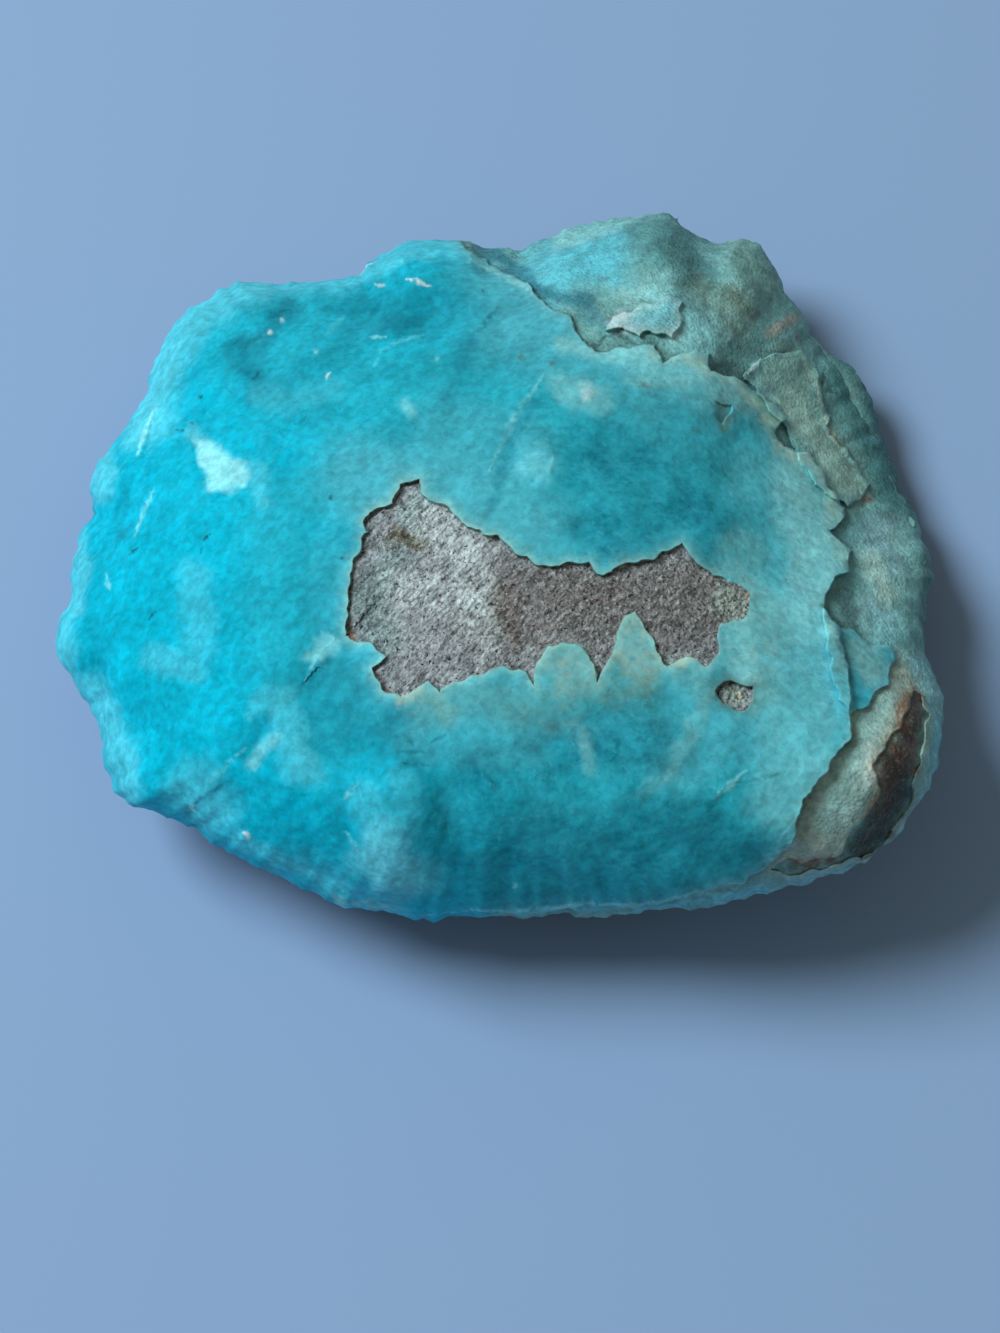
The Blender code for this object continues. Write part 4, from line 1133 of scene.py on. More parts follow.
LAYER_STROKES = strokes(
    (CLOUD, ((1.6, 21.5), (4.7, 23.7), (7.8, 24.7)), 3.29, 0.85),
    (FOAM, ((4.7, 25.6), (9.0, 26.9), (11.7, 27.5)), 1.02, 0.6),
    (TEAL, ((-1.6, 24.7), (0.4, 24.0), (3.1, 21.5), (7.2, 20.6)), 0.7, 0.75, -0.12),
    (TEAL, ((6.4, 20.0), (7.8, 19.0)), 0.86, 0.5),
    (INK, ((6.5, 17.5), (7.7, 17.1), (8.3, 17.9)), 0.39, 0.7, -0.1),
    (CLOUD, ((11.0, 25.8), (12.1, 23.7)), 2.04, 0.15),
    (SLATE, ((14.7, 25.6), (16.0, 23.4), (14.9, 21.9)), 1.33, 0.5, -0.08),
    (SAGE, ((10.2, 21.5), (12.9, 21.7)), 1.1, 0.35),
    (SNOW, ((9.4, 19.0), (11.7, 19.5), (13.2, 20.0)), 0.94, 0.7),
    (SNOW, ((13.2, 19.8), (13.7, 18.1)), 0.7, 1.0),
    (SLATE, ((8.0, 17.8), (9.2, 18.2), (11.0, 17.1)), 0.39, 0.7, -0.08),
    # painted shadow beside the pale flake
    (SLATE, ((16.9, 18.4), (19.2, 17.2), (18.6, 15.6)), 1.57, 0.4),
    (FOAM, ((11.7, 20.7), (15.7, 19.3), (18.0, 20.3)), 2.66, 0.75),
    (FROST, ((12.5, 20.7), (15.7, 18.4), (14.9, 16.8)), 2.04, 0.5),
    (MOSS, ((11.7, 26.1), (15.7, 23.7), (14.9, 21.1)), 2.19, 0.5),
    (OLIVE, ((15.7, 21.4), (17.6, 20.4), (18.8, 19.0)), 1.57, 0.4),
    (STONE, ((20.0, 20.7), (21.9, 18.4)), 0.94, 0.4),
    (SAGE, ((18.8, 24.7), (20.7, 21.5), (18.8, 20.7)), 1.72, 0.4),
    (FOAM, ((15.7, 24.7), (18.4, 22.9)), 0.55, 0.4),
    (SKY, ((4.3, 23.7), (7.8, 23.7), (9.4, 22.7)), 1.41, 0.45),
    (OLIVE, ((18.4, 20.7), (19.7, 19.8)), 0.63, 0.4),
    # painted shadow below the olive sheet
    (INK, ((16.8, 15.4), (18.6, 15.3), (20.0, 14.8)), 0.63, 0.55, -0.16),
    (SLATE, ((15.7, 20.0), (16.9, 18.6), (18.4, 16.8)), 0.25, 0.5, -0.06),
    (SNOW, ((19.6, 15.2), (20.5, 16.1)), 0.36, 1.0, 0.12),
    (RUST, ((21.7, 18.9),), 0.31, 0.6),
    (RUST, ((22.0, 17.2), (22.2, 17.6)), 0.28, 0.8, -0.02),
    (RUST, ((23.2, 17.9),), 0.28, 0.5),
    (PEACH, ((21.1, 18.1), (22.9, 19.3)), 0.55, 0.35),
    (OLIVE, ((20.1, 19.7),), 0.35, 0.5),
    (SAGE, ((22.3, 15.7), (23.1, 12.9), (25.8, 9.0), (27.6, 5.9)), 2.04, 0.7),
    (FOAM, ((21.1, 15.1), (23.1, 12.3), (25.8, 8.6), (27.1, 6.3)), 1.88, 0.55),
    (IVORY, ((22.7, 12.9), (25.8, 8.6), (27.1, 6.3)), 1.25, 0.3),
    (SAGE, ((21.5, 15.1), (23.5, 14.2)), 1.1, 0.4),
    (IVORY, ((23.5, 16.4), (24.7, 14.2), (25.7, 11.4)), 0.39, 0.45),
    (FOAM, ((24.4, 15.9), (25.1, 14.2)), 0.27, 0.6, 0.04),
    (INK, ((25.3, 15.4), (25.2, 13.7)), 0.23, 0.75, -0.05),
    # the right flank's own dark green, darkened further as painted shade where it faces away from the light
    (MOSS, ((27.2, 15.1), (28.7, 11.4), (30.4, 7.6), (31.5, 4.7)), 2.04, 0.85),
    (INK, ((28.0, 14.2), (30.1, 10.1), (32.1, 4.7)), 0.63, 0.3),
    (TEAL, ((28.7, 12.9), (29.8, 9.8)), 0.78, 0.3),
    (SLATE, ((25.2, 16.7), (27.4, 15.9)), 0.7, 0.6, -0.04),
    (SAGE, ((27.4, 7.4), (28.3, 5.9)), 1.1, 0.5),
    (CREAM, ((25.5, 11.7), (26.0, 10.4), (27.2, 8.6)), 0.31, 0.5),
    (RUST, ((28.0, 5.4), (29.4, 4.9)), 0.25, 0.7, -0.02),
    (INK, ((26.5, 13.5), (24.4, 13.9)), 0.2, 0.5),
    (FOAM, ((29.8, 2.7), (30.1, -0.4), (29.8, -3.5)), 2.19, 0.75),
    (ASH, ((29.6, 2.7), (30.2, -0.4), (29.9, -3.5)), 1.88, 0.5),
    (CLOUD, ((29.1, 2.7), (30.1, -2.7), (30.7, -5.9)), 2.19, 0.28),
    (FROST, ((30.1, -3.5), (30.4, -6.7), (29.8, -9.8)), 1.41, 0.35),
    (IVORY, ((28.7, 0.4), (30.5, -2.7)), 0.94, 0.35),
    (SLATE, ((26.8, -2.0), (27.6, -4.1)), 1.02, 0.7),
    (FOAM, ((31.3, 1.6), (31.7, -5.1)), 1.25, 0.35),
    # painted shade along the right rim, which faces away from the light
    (SLATE, ((33.5, 1.6), (33.7, -5.9)), 0.63, 0.6),
    (SLATE, ((29.0, 3.5), (30.9, 3.9)), 0.78, 0.3),
    (TAN, ((30.8, -9.2), (27.0, -15.7), (24.4, -21.9)), 2.82, 0.95),
    (FOAM, ((29.8, -10.6), (27.4, -15.3), (25.8, -20.0)), 1.41, 0.5),
    (SNOW, ((29.1, -14.6), (28.8, -17.0)), 0.63, 0.45),
    (CREAM, ((31.7, -8.1), (32.5, -9.2)), 0.39, 0.4),
    (LIMB, ((33.0, -7.8), (34.5, -11.5), (33.7, -17.2), (31.6, -21.9)), 1.1, 0.95),
    (SKY, ((33.5, -9.8), (34.3, -12.9), (33.5, -17.2)), 0.39, 0.5),
    (UMBER, ((32.3, -10.4), (31.6, -14.3)), 1.17, 0.95),
    (UMBER, ((31.2, -14.1), (31.8, -15.9)), 0.94, 0.9),
    (RUST, ((31.8, -9.8), (31.3, -11.5), (31.0, -13.3)), 0.47, 0.6),
    (BARK, ((29.8, -15.3), (30.8, -16.4)), 0.7, 0.5),
    (SOOT, ((30.4, -15.7), (31.2, -17.6), (30.1, -21.1), (28.7, -22.6)), 1.41, 0.85, -0.02),
    (UMBER, ((30.7, -16.2), (29.8, -19.3)), 0.7, 0.6),
    (UMBER, ((30.1, -15.1), (29.8, -17.2), (28.8, -20.0)), 0.63, 0.6),
    (RUST, ((29.1, -15.4), (29.9, -16.4)), 0.31, 0.6),
    (RUST, ((30.8, -18.4), (30.1, -19.6)), 0.31, 0.5),
    (RUST, ((30.4, -14.3), (31.0, -15.4)), 0.31, 0.7, -0.02),
    (PEACH, ((30.8, -15.0), (31.2, -15.6)), 0.16, 0.6, 0.02),
    (RUST, ((29.4, -21.1), (28.3, -22.0)), 0.23, 0.7),
    (PEACH, ((29.1, -21.4), (28.7, -21.8)), 0.14, 0.6, 0.02),
    (PEACH, ((30.1, -17.6), (30.5, -18.2)), 0.14, 0.4, 0.02),
    (CREAM, ((28.8, -21.4), (29.6, -20.1)), 0.23, 0.4),
    (RUST, ((31.9, -13.9), (32.3, -16.4)), 0.47, 0.5),
    (RUST, ((27.0, -22.8), (24.3, -23.3), (22.1, -22.9)), 0.47, 0.75),
    (PEACH, ((24.9, -23.2), (23.5, -23.3)), 0.23, 0.5),
    (SNOW, ((28.0, -23.7), (30.2, -23.2), (31.3, -22.2)), 0.28, 0.7, 0.03),
    (LIMB, ((18.8, -25.8), (23.5, -24.7), (27.4, -24.1)), 0.7, 0.9),
    (SKY, ((11.0, -27.2), (15.7, -26.4), (20.4, -25.4)), 0.55, 0.5),
    (SOOT, ((32.5, -9.3), (33.0, -10.2)), 0.27, 0.8, -0.02),
)


@dataclass(frozen=True)
class Stain:
    """A cloudy stain on the bare stone."""

    tone: Tone
    size: float
    least: float
    gain: float
    layer: NoiseLayer

    MOST = 0.75

    def cover(self, places: Points) -> Points:
        """How much of the stain each place in space gets."""
        return np.clip(self.gain * (noise_at(places, self.size, self.layer) - self.least), 0.0, self.MOST)


@dataclass(frozen=True)
class Patch:
    """Some places on the face, with every ledge's depths and the kind of surface at each."""

    points: Points
    depths: list[Points]
    regions: Points


@dataclass(frozen=True)
class Painter:
    """Lays the colours of each kind of surface on the face, and of the ledges' edges."""

    ledges: list[Ledge]

    COATS = {
        Region.CRUST: (Tone.AQUA, CRUST_STROKES),
        Region.WINDOW: (Tone.ASH, WINDOW_STROKES),
        Region.LAYER: (Tone.STONE, LAYER_STROKES),
    }
    WARP = 0.55
    WARP_SIZE = 1.5
    FINE_WARP = 0.12
    FINE_WARP_SIZE = 0.5
    LEAST_MOTTLE = 0.06
    MOTTLED = (
        Swell(10.0, -13.0, 21.0, 21.0, 0.8),
        Swell(16.0, 8.0, 18.0, 18.0, 0.5),
        Swell(-16.0, 12.0, 12.0, 12.0, 0.35),
    )
    STAINS = (
        Stain(Tone.STONE, size=9.0, least=0.0, gain=1.6, layer=NoiseLayer.GREEN_STAIN),
        Stain(Tone.CREAM, size=6.0, least=0.1, gain=1.8, layer=NoiseLayer.CREAM_STAIN),
        Stain(Tone.BARK, size=5.0, least=0.125, gain=2.4, layer=NoiseLayer.BROWN_STAIN),
    )

    @staticmethod
    def moved(points: Points, warp: float, size: float) -> Points:
        """Moves places about, so that no stroke has a drawn edge.

        Args:
            points: Places on the face.
            warp: How far they go.
            size: How far apart they go different ways.

        Returns:
            The moved places.
        """
        across = noise_at(points, size, NoiseLayer.WARP_ACROSS)
        along = noise_at(points, size, NoiseLayer.WARP_ALONG)
        return points + 2.0 * warp * np.column_stack((across, along))

    def relief(self, patch: Patch) -> Points:
        """Measures how far the strokes stand up.

        Args:
            patch: Places on the face.

        Returns:
            How far they lift each place.
        """
        height = np.zeros(len(patch.points))
        moved = self.moved(patch.points, self.FINE_WARP, self.FINE_WARP_SIZE)
        for region, (_, strokes) in self.COATS.items():
            mine = patch.regions == region.value
            for stroke in strokes:
                if stroke.rise:
                    height[mine] += stroke.rise * stroke.cover(moved[mine])
        return height

    def tones(self, patch: Patch) -> Points:
        """Colours the face.

        Args:
            patch: Places on it.

        Returns:
            Linear red, green and blue, one row for each place.
        """
        tones = np.zeros((len(patch.points), 3))
        broad = self.moved(patch.points, self.WARP, self.WARP_SIZE)
        fine = self.moved(patch.points, self.FINE_WARP, self.FINE_WARP_SIZE)
        for region, (base, strokes) in self.COATS.items():
            mine = np.flatnonzero(patch.regions == region.value)
            tones[mine] = base.linear
            for stroke in strokes:
                places = broad if stroke.half_width > self.WARP else fine
                cover = (stroke.strength * stroke.cover(places[mine]))[:, None]
                tones[mine] += (stroke.tone.linear - tones[mine]) * cover
        # the ledges' fills, their lips (partly painted light through thin edges) and their gaps (painted
        # shade at their feet)
        for ledge, depth in zip(self.ledges, patch.depths):
            for tone, cover in ledge.edge_covers(patch.points, depth):
                tones += (tone.linear - tones) * cover[:, None]
        return tones

    def mottle(self, points: Points) -> Points:
        """How mottled the surface is: little on the smooth left, most low in the middle."""
        amount = sum((swell.height(points) for swell in self.MOTTLED), start=self.LEAST_MOTTLE)
        return np.clip(amount, 0.0, 1.0)

    def bare_tones(self, places: Points) -> Points:
        """Colours bare stone: grey, with green, cream and brown stains.

        Args:
            places: Places as x, y, z in millimetres.

        Returns:
            Linear red, green and blue, one row for each place.
        """
        tones = np.tile(Tone.FLINT.linear, (len(places), 1))
        for stain in self.STAINS:
            tones += (stain.tone.linear - tones) * stain.cover(places)[:, None]
        return tones


@dataclass(frozen=True)
class Spacing:
    """How closely the mesh's points stand, in millimetres, and how evenly."""

    upper: float = 0.36
    lower: float = 0.62
    window: float = 0.19
    layer: float = 0.27
    mark: float = 0.13
    mark_margin: float = 0.22
    small_stroke: float = 0.45
    keep_off: float = 0.55
    jitter: float = 0.2
    line_inset: float = 0.12
    merged: float = 1e-5


@dataclass
class Layout:
    """Lays out the points and triangles of one side on the rim's map."""

    rim: Rim
    spacing: Spacing
    lines: list[Points]
    loose: list[Points] = field(default_factory=list)
    random: np.random.Generator = field(default_factory=lambda: np.random.default_rng(SEED))

    ROW_STEP = math.sqrt(0.75)

    def grid(self, around: Points, step: float, margin: float = 0.0) -> Points:
        """Makes an uneven grid of points.

        Args:
            around: Points that it reaches round.
            step: The distance between its points.
            margin: How far past them it goes.

        Returns:
            The grid's points.
        """
        low, high = around.min(axis=0) - margin, around.max(axis=0) + margin
        rows = []
        for number, v in enumerate(np.arange(low[1], high[1], step * self.ROW_STEP)):
            across = np.arange(low[0], high[0], step) + 0.5 * step * (number % 2)
            rows.append(np.column_stack((across, np.full_like(across, v))))
        points = np.concatenate(rows)
        return points + self.random.uniform(-self.spacing.jitter, self.spacing.jitter, points.shape) * step

    def fill(self, points: Points, step: float) -> None:
        """Adds those points that lie inside the rim and stand clear of all others.

        Args:
            points: Places on the map.
            step: The distance that they keep.
        """
        points = points[self.rim.outline.depth(points) > 0.5 * step]
        tree = search_tree(np.concatenate([self.rim.outline.line, *self.lines, *self.loose]))
        clear = [tree.find((u, v, 0.0))[2] > self.spacing.keep_off * step for u, v in points]
        self.loose.append(points[np.array(clear, dtype=bool)])

    def fill_whole(self, step: float) -> None:
        """Adds points all over the map."""
        self.fill(self.grid(self.rim.outline.line, step), step)

    def fill_around(self, stroke: Stroke) -> None:
        """Adds fine points on and round a small stroke.

        Args:
            stroke: The stroke.
        """
        reach = stroke.half_width + self.spacing.mark_margin
        points = self.grid(np.array(stroke.line), self.spacing.mark, reach)
        self.fill(self.rim.to_map(points[stroke.distance(points) < reach]), self.spacing.mark)

    def fill_inside(self, outline: Outline, step: float, outside: bool = False) -> None:
        """Adds fine points inside an outline on the face, or between it and the rim.

        Args:
            outline: The outline.
            step: The distance between points.
            outside: Whether to fill outside the outline instead.
        """
        points = self.grid(self.rim.outline.line if outside else outline.line, step)
        depth = outline.depth(points)
        points = points[depth < 0.0] if outside else points[depth > 0.0]
        self.fill(self.rim.to_map(points[self.rim.outline.depth(points) > 0.0]), step)

    def triangles(self) -> tuple[Points, Points, list[int]]:
        """Joins the points by triangles, keeping the lines as edges.

        Returns:
            The points on the map, the triangles, and for each point its number on the rim, or a number
            past the rim's last.
        """
        rim_line = self.rim.outline.line
        points = [tuple(point) for point in rim_line]
        edges = [(i, (i + 1) % len(points)) for i in range(len(points))]
        for line in self.lines:
            within = self.rim.outline.depth(line) > self.spacing.line_inset
            numbers = {}
            for i in np.flatnonzero(within):
                numbers[i] = len(points)
                points.append(tuple(line[i]))
            edges.extend(
                (number, numbers[(i + 1) % len(line)])
                for i, number in numbers.items()
                if (i + 1) % len(line) in numbers
            )
        for loose in self.loose:
            points.extend(tuple(point) for point in loose)
        merged = self.spacing.merged
        found, _, faces, sources, _, _ = geometry.delaunay_2d_cdt(points, edges, [], 0, merged, True)
        found = np.array([tuple(point) for point in found])
        faces = np.array(faces)
        faces = faces[self.rim.outline.depth(found[faces].mean(axis=1)) > 0.0]
        return found, faces, [min(source, default=len(points)) for source in sources]


@dataclass(frozen=True)
class Sides:
    """Both sides joined along the rim: first the upper side's vertices, then the underside's own.

    The last two fields hold all vertices as x, y, z on the main form, and the triangles.
    """

    upper: Points
    lower: Points
    lower_map: Points
    bulge: Points
    places: Points
    faces: Points

    @property
    def start(self) -> int:
        """The number of the underside's first vertex."""
        return len(self.upper)


class StoneMesh:
    """Builds the dressed stone's mesh, with its colours and kinds of surface."""

    WRAP_SHARE = 0.955
    WRAP_SWERVE = 0.03
    WRAP_SIZE = 7.0
    WRAP_NOISE = (0.8, 2.2, 3)
    WRAP_STEP = 0.9
    WRAP_FROM = 0.35
    BARE_FROM = 0.1
    BARE_OVER = 0.5
    BARE_BELOW = 0.15
    LUMPS_ON_TOP = 0.22
    LUMPS_AT_RIM = 0.42
    EDGE_FROM = 0.8
    # how far each kind of surface's grains stand up, and how wide they are
    GRAINS = {
        Region.CRUST: (0.06, 1.6, NoiseLayer.CRUST_GRAIN),
        Region.WINDOW: (0.2, 0.8, NoiseLayer.WINDOW_GRAIN),
        Region.LAYER: (0.22, 1.3, NoiseLayer.LAYER_GRAIN),
        Region.BARE: (0.3, 1.6, NoiseLayer.BARE_GRAIN),
    }
    STREAK_TURN = math.radians(52)
    STREAK_RISE = 0.22
    STREAK_WIDTH = 0.55
    STREAK_LENGTH = 2.6
    CUT_MERGED = 1e-4
    SHARP_ANGLE = math.radians(48)

    def __init__(self, form: StoneForm, edge: BrokenEdge, spacing: Spacing) -> None:
        """Readies the ledges and the colours.

        Args:
            form: The main form.
            edge: How the ledges' edges are broken.
            spacing: How closely the mesh's points stand.
        """
        self.form = form
        self.rim = form.rim
        self.spacing = spacing
        # each with its step, the tone and strength of its lip, and those of its gap, the painted shade at
        # its foot
        self.crust = Ledge(edge.along(CRUST), 1.2, Tone.FOAM, 0.6, Tone.INK, 0.8)
        fades = (Swell(18.6, -2.4, 2.2, 2.2, 1.0),)
        self.window = Ledge(edge.along(WINDOW), -0.6, Tone.IVORY, 0.45, Tone.BARK, 0.25, fades)
        self.pit = Ledge(edge.along(PIT), -0.6, Tone.OLIVE, 0.7, Tone.BARK, 0.8)
        # the scar's pale frost fill: partly the paler fibrous stone of the broken facet, partly a painted
        # sheen on it
        self.scar = Ledge(edge.along(SCAR), -0.12, fill=Tone.FROST, fill_strength=0.9)
        stain = {"fill": Tone.SOOT, "fill_strength": 0.65}
        cloud = {"fill": Tone.CLOUD, "fill_strength": 0.6}
        self.ledges = [
            self.crust,
            self.window,
            self.pit,
            Ledge(edge.along(TONGUE), 0.7, Tone.FOAM, 0.4, Tone.INK, 0.7),
            self.scar,
            Ledge(edge.along(PALE_FLAKE), 0.7, Tone.SNOW, 0.3, Tone.SLATE, 0.7, **cloud),
            Ledge(edge.along(SHELF), 0.55, Tone.FOAM, 0.35, Tone.INK, 0.7),
            Ledge(edge.along(STAIN), -0.4, Tone.CREAM, 0.3, Tone.SOOT, 0.6, **stain),
            Ledge(edge.along(DENT), -0.35, Tone.SAGE, 0.3, Tone.SLATE, 0.9),
        ]
        self.painter = Painter(self.ledges)
        self.wrap = Ledge(self.wrap_edge(), -self.WRAP_STEP)

    def wrap_edge(self) -> Outline:
        """Draws where the crust ends under the rim.

        Returns:
            A closed line on the underside's map.
        """
        line = self.rim.outline.line
        places = noise_places(line, self.WRAP_SIZE, NoiseLayer.WRAP)
        swerve = np.array([noise.fractal(Vector(place), *self.WRAP_NOISE) for place in places])
        share = self.WRAP_SHARE + self.WRAP_SWERVE * swerve
        return Outline(self.rim.MIDDLE + (line - self.rim.MIDDLE) * share[:, None])

    def upper_layout(self) -> Layout:
        """Lays out the upper side: along ledges, then round marks, in broken stone, and over the rest.

        Returns:
            Its points.
        """
        lines = [self.rim.to_map(wall) for ledge in self.ledges for wall in ledge.walls()]
        layout = Layout(self.rim, self.spacing, lines)
        for stroke in (*CRUST_STROKES, *WINDOW_STROKES, *LAYER_STROKES):
            if stroke.half_width < self.spacing.small_stroke:
                layout.fill_around(stroke)
        for ledge in (self.window, self.pit, self.scar):
            layout.fill_inside(ledge.outline, self.spacing.window)
        layout.fill_inside(self.crust.outline, self.spacing.layer, outside=True)
        layout.fill_whole(self.spacing.upper)
        return layout

    def lower_layout(self) -> Layout:
        """Lays out the underside: along the crust's end, and over the rest.

        Returns:
            Its points.
        """
        layout = Layout(self.rim, self.spacing, self.wrap.walls())
        layout.fill_whole(self.spacing.lower)
        return layout

    def sides(self) -> Sides:
        """Lays out both sides and joins them.

        Returns:
            The sides, which share their vertices on the rim.
        """
        upper_map, upper_faces, upper_rim = self.upper_layout().triangles()
        lower_map, lower_faces, lower_rim = self.lower_layout().triangles()
        LOG.info("laid out %d upper and %d lower points", len(upper_map), len(lower_map))
        upper = self.rim.to_face(upper_map)
        lower = self.rim.to_face(lower_map)
        rim_count = len(self.rim.outline.line)
        on_rim = {number: i for i, number in enumerate(upper_rim) if number < rim_count}
        own = [i for i, number in enumerate(lower_rim) if number >= rim_count]
        renumbered = np.array([on_rim.get(number, -1) for number in lower_rim])
        renumbered[own] = len(upper) + np.arange(len(own))
        faces = np.concatenate((upper_faces, renumbered[lower_faces][:, ::-1]))
        places = np.concatenate((self.form.upper_side(upper), self.form.underside(lower)[own]))
        return Sides(upper, lower[own], lower_map[own], self.form.bulge(lower)[own], places, faces)

    def patch(self, points: Points) -> Patch:
        """Finds the kind of surface at places on the face.

        Args:
            points: The places.

        Returns:
            The places with their depths and kinds.
        """
        depths = [ledge.outline.depth(points) for ledge in self.ledges]
        crust, window, pit, tongue = depths[:4]
        regions = np.full(len(points), Region.LAYER.value)
        regions[(crust > 0.0) | (tongue > 0.0)] = Region.CRUST.value
        regions[(window > 0.0) | (pit > 0.0)] = Region.WINDOW.value
        return Patch(points, depths, regions)

    def grain(self, places: Points, kinds: Points) -> Points:
        """Measures the fine unevenness of each kind of surface.

        Args:
            places: Places as x, y, z in millimetres.
            kinds: The kind of surface at each.

        Returns:
            How far each place stands out.
        """
        height = np.zeros(len(places))
        for region, (rise, size, layer) in self.GRAINS.items():
            mine = kinds == region.value
            if mine.any():
                height[mine] = rise * noise_at(places[mine], size, layer)
        return height

    def streaks(self, patch: Patch) -> Points:
        """Measures the slanting ridges of the stone in the window.

        Args:
            patch: Places on the face.

        Returns:
            How far they lift each place.
        """
        height = np.zeros(len(patch.points))
        mine = patch.regions == Region.WINDOW.value
        cos, sin = math.cos(self.STREAK_TURN), math.sin(self.STREAK_TURN)
        size = np.array((self.STREAK_LENGTH, self.STREAK_WIDTH))
        turned = (patch.points[mine] @ np.array(((cos, -sin), (sin, cos)))) / size
        height[mine] = self.STREAK_RISE * noise_at(turned, 1.0, NoiseLayer.STREAKS, 2)
        return height

    @staticmethod
    def normals(places: Points, faces: Points) -> Points:
        """Finds the direction that each vertex faces.

        Args:
            places: The vertices as x, y, z.
            faces: The triangles.

        Returns:
            One direction for each vertex.
        """
        a, b, c = (places[faces[:, corner]] for corner in range(3))
        facing = np.cross(b - a, c - a)
        total = np.zeros_like(places)
        for corner in range(3):
            np.add.at(total, faces[:, corner], facing)
        return total / np.maximum(np.linalg.norm(total, axis=1), TINY)[:, None]

    def standing_out(self, sides: Sides, bare: Points) -> Points:
        """Measures the grapes of the crust and the chips of the bare stone.

        Args:
            sides: Both sides.
            bare: How bare each of the underside's own vertices is.

        Returns:
            How far each vertex stands out from the main form.
        """
        from_edge = (self.rim.share(sides.upper) - self.EDGE_FROM) / (1.0 - self.EDGE_FROM)
        upper = self.LUMPS_ON_TOP + (self.LUMPS_AT_RIM - self.LUMPS_ON_TOP) * smooth(from_edge)
        lower = self.LUMPS_AT_RIM + (1.0 - self.LUMPS_AT_RIM) * smooth(sides.bulge / self.WRAP_FROM)
        out = np.concatenate((upper, lower * (1.0 - bare))) * self.form.lumps(sides.places)
        out[sides.start :] += bare * (self.form.chips(sides.places[sides.start :]) - self.WRAP_STEP)
        return out

    def lifted(self, upper: Patch, lower: Patch, bulge: Points) -> Points:
        """Measures the ledges, the streaks and the strokes that stand up.

        Args:
            upper: The upper side's vertices.
            lower: The underside's own vertices.
            bulge: How far down each of those is.

        Returns:
            How far each vertex goes towards the sight point.
        """
        over = self.streaks(upper) + self.painter.relief(upper)
        under = np.zeros(len(lower.points))
        relief_share = self.form.relief_share(bulge)
        for number, ledge in enumerate(self.ledges):
            over += ledge.rise(upper.points, upper.depths[number])
            under += ledge.rise(lower.points, lower.depths[number]) * relief_share
        return np.concatenate((over, under))

    def build(self) -> bpy.types.Mesh:
        """Builds the closed mesh, cut flat on the ground.

        Returns:
            The mesh in metres, with its colours as attributes and its kinds of surface as materials.
        """
        sides = self.sides()
        upper, lower = self.patch(sides.upper), self.patch(sides.lower)
        facing = self.normals(sides.places, sides.faces)
        bare = self.wrap.over_wall(self.wrap.outline.depth(sides.lower_map))
        turned_down = smooth((self.BARE_FROM - facing[sides.start :, 2]) / self.BARE_OVER)
        bare_share = bare * turned_down * smooth((sides.bulge - self.BARE_BELOW) / self.WRAP_FROM)
        lower_kinds = np.where(bare_share > 0.5, Region.BARE.value, lower.regions)
        kinds = np.concatenate((upper.regions, lower_kinds))

        out = self.standing_out(sides, bare) + self.grain(sides.places, kinds)
        face_points = np.concatenate((sides.upper, sides.lower))
        lifted = self.lifted(upper, lower, sides.bulge)[:, None] * self.form.face.sight_lines(face_points)
        places = sides.places + out[:, None] * facing + lifted

        lower_tones = self.painter.tones(lower)
        bare_tones = self.painter.bare_tones(places[sides.start :])
        lower_tones += (bare_tones - lower_tones) * bare_share[:, None]
        tones = np.concatenate((self.painter.tones(upper), lower_tones))

        middles = self.patch(face_points[sides.faces].mean(axis=1))
        under = (sides.faces >= sides.start).any(axis=1)
        mostly_bare = (kinds[sides.faces] == Region.BARE.value).sum(axis=1) >= 2
        face_kinds = np.where(under & mostly_bare, Region.BARE.value, middles.regions)
        return self.closed(places, sides.faces, face_kinds, tones, self.painter.mottle(face_points))

    def closed(
        self, places: Points, faces: Points, kinds: Points, tones: Points, mottle: Points
    ) -> bpy.types.Mesh:
        """Makes the mesh and closes it with a flat foot.

        Args:
            places: The vertices as x, y, z in millimetres.
            faces: The triangles.
            kinds: The kind of surface of each triangle.
            tones: The colour of each vertex.
            mottle: How mottled each vertex is.

        Returns:
            The mesh in metres.
        """
        mesh = bpy.data.meshes.new("dressed_stone")
        mesh.from_pydata(places.tolist(), [], faces.tolist())
        mesh.polygons.foreach_set("material_index", kinds.astype(np.int32))
        tone = mesh.attributes.new(TONE_NAME, "FLOAT_COLOR", "POINT")
        opaque = np.column_stack((tones, np.ones(len(tones))))
        tone.data.foreach_set("color", opaque.ravel().astype(np.float32))
        amount = mesh.attributes.new(MOTTLE_NAME, "FLOAT", "POINT")
        amount.data.foreach_set("value", mottle.astype(np.float32))

        shape = bmesh.new()
        shape.from_mesh(mesh)
        cut = bmesh.ops.bisect_plane(
            shape,
            geom=[*shape.verts, *shape.edges, *shape.faces],
            dist=self.CUT_MERGED,
            plane_co=(0.0, 0.0, 0.0),
            plane_no=(0.0, 0.0, -1.0),
            clear_outer=True,
        )
        ground = [item for item in cut["geom_cut"] if isinstance(item, bmesh.types.BMEdge)]
        foot = bmesh.ops.contextual_create(shape, geom=ground)
        for item in foot["faces"]:
            item.material_index = Region.BARE.value
        bmesh.ops.recalc_face_normals(shape, faces=shape.faces)
        bmesh.ops.scale(shape, vec=(MM, MM, MM), verts=shape.verts)
        shape.to_mesh(mesh)
        shape.free()
        mesh.shade_smooth()
        mesh.set_sharp_from_angle(angle=self.SHARP_ANGLE)
        return mesh


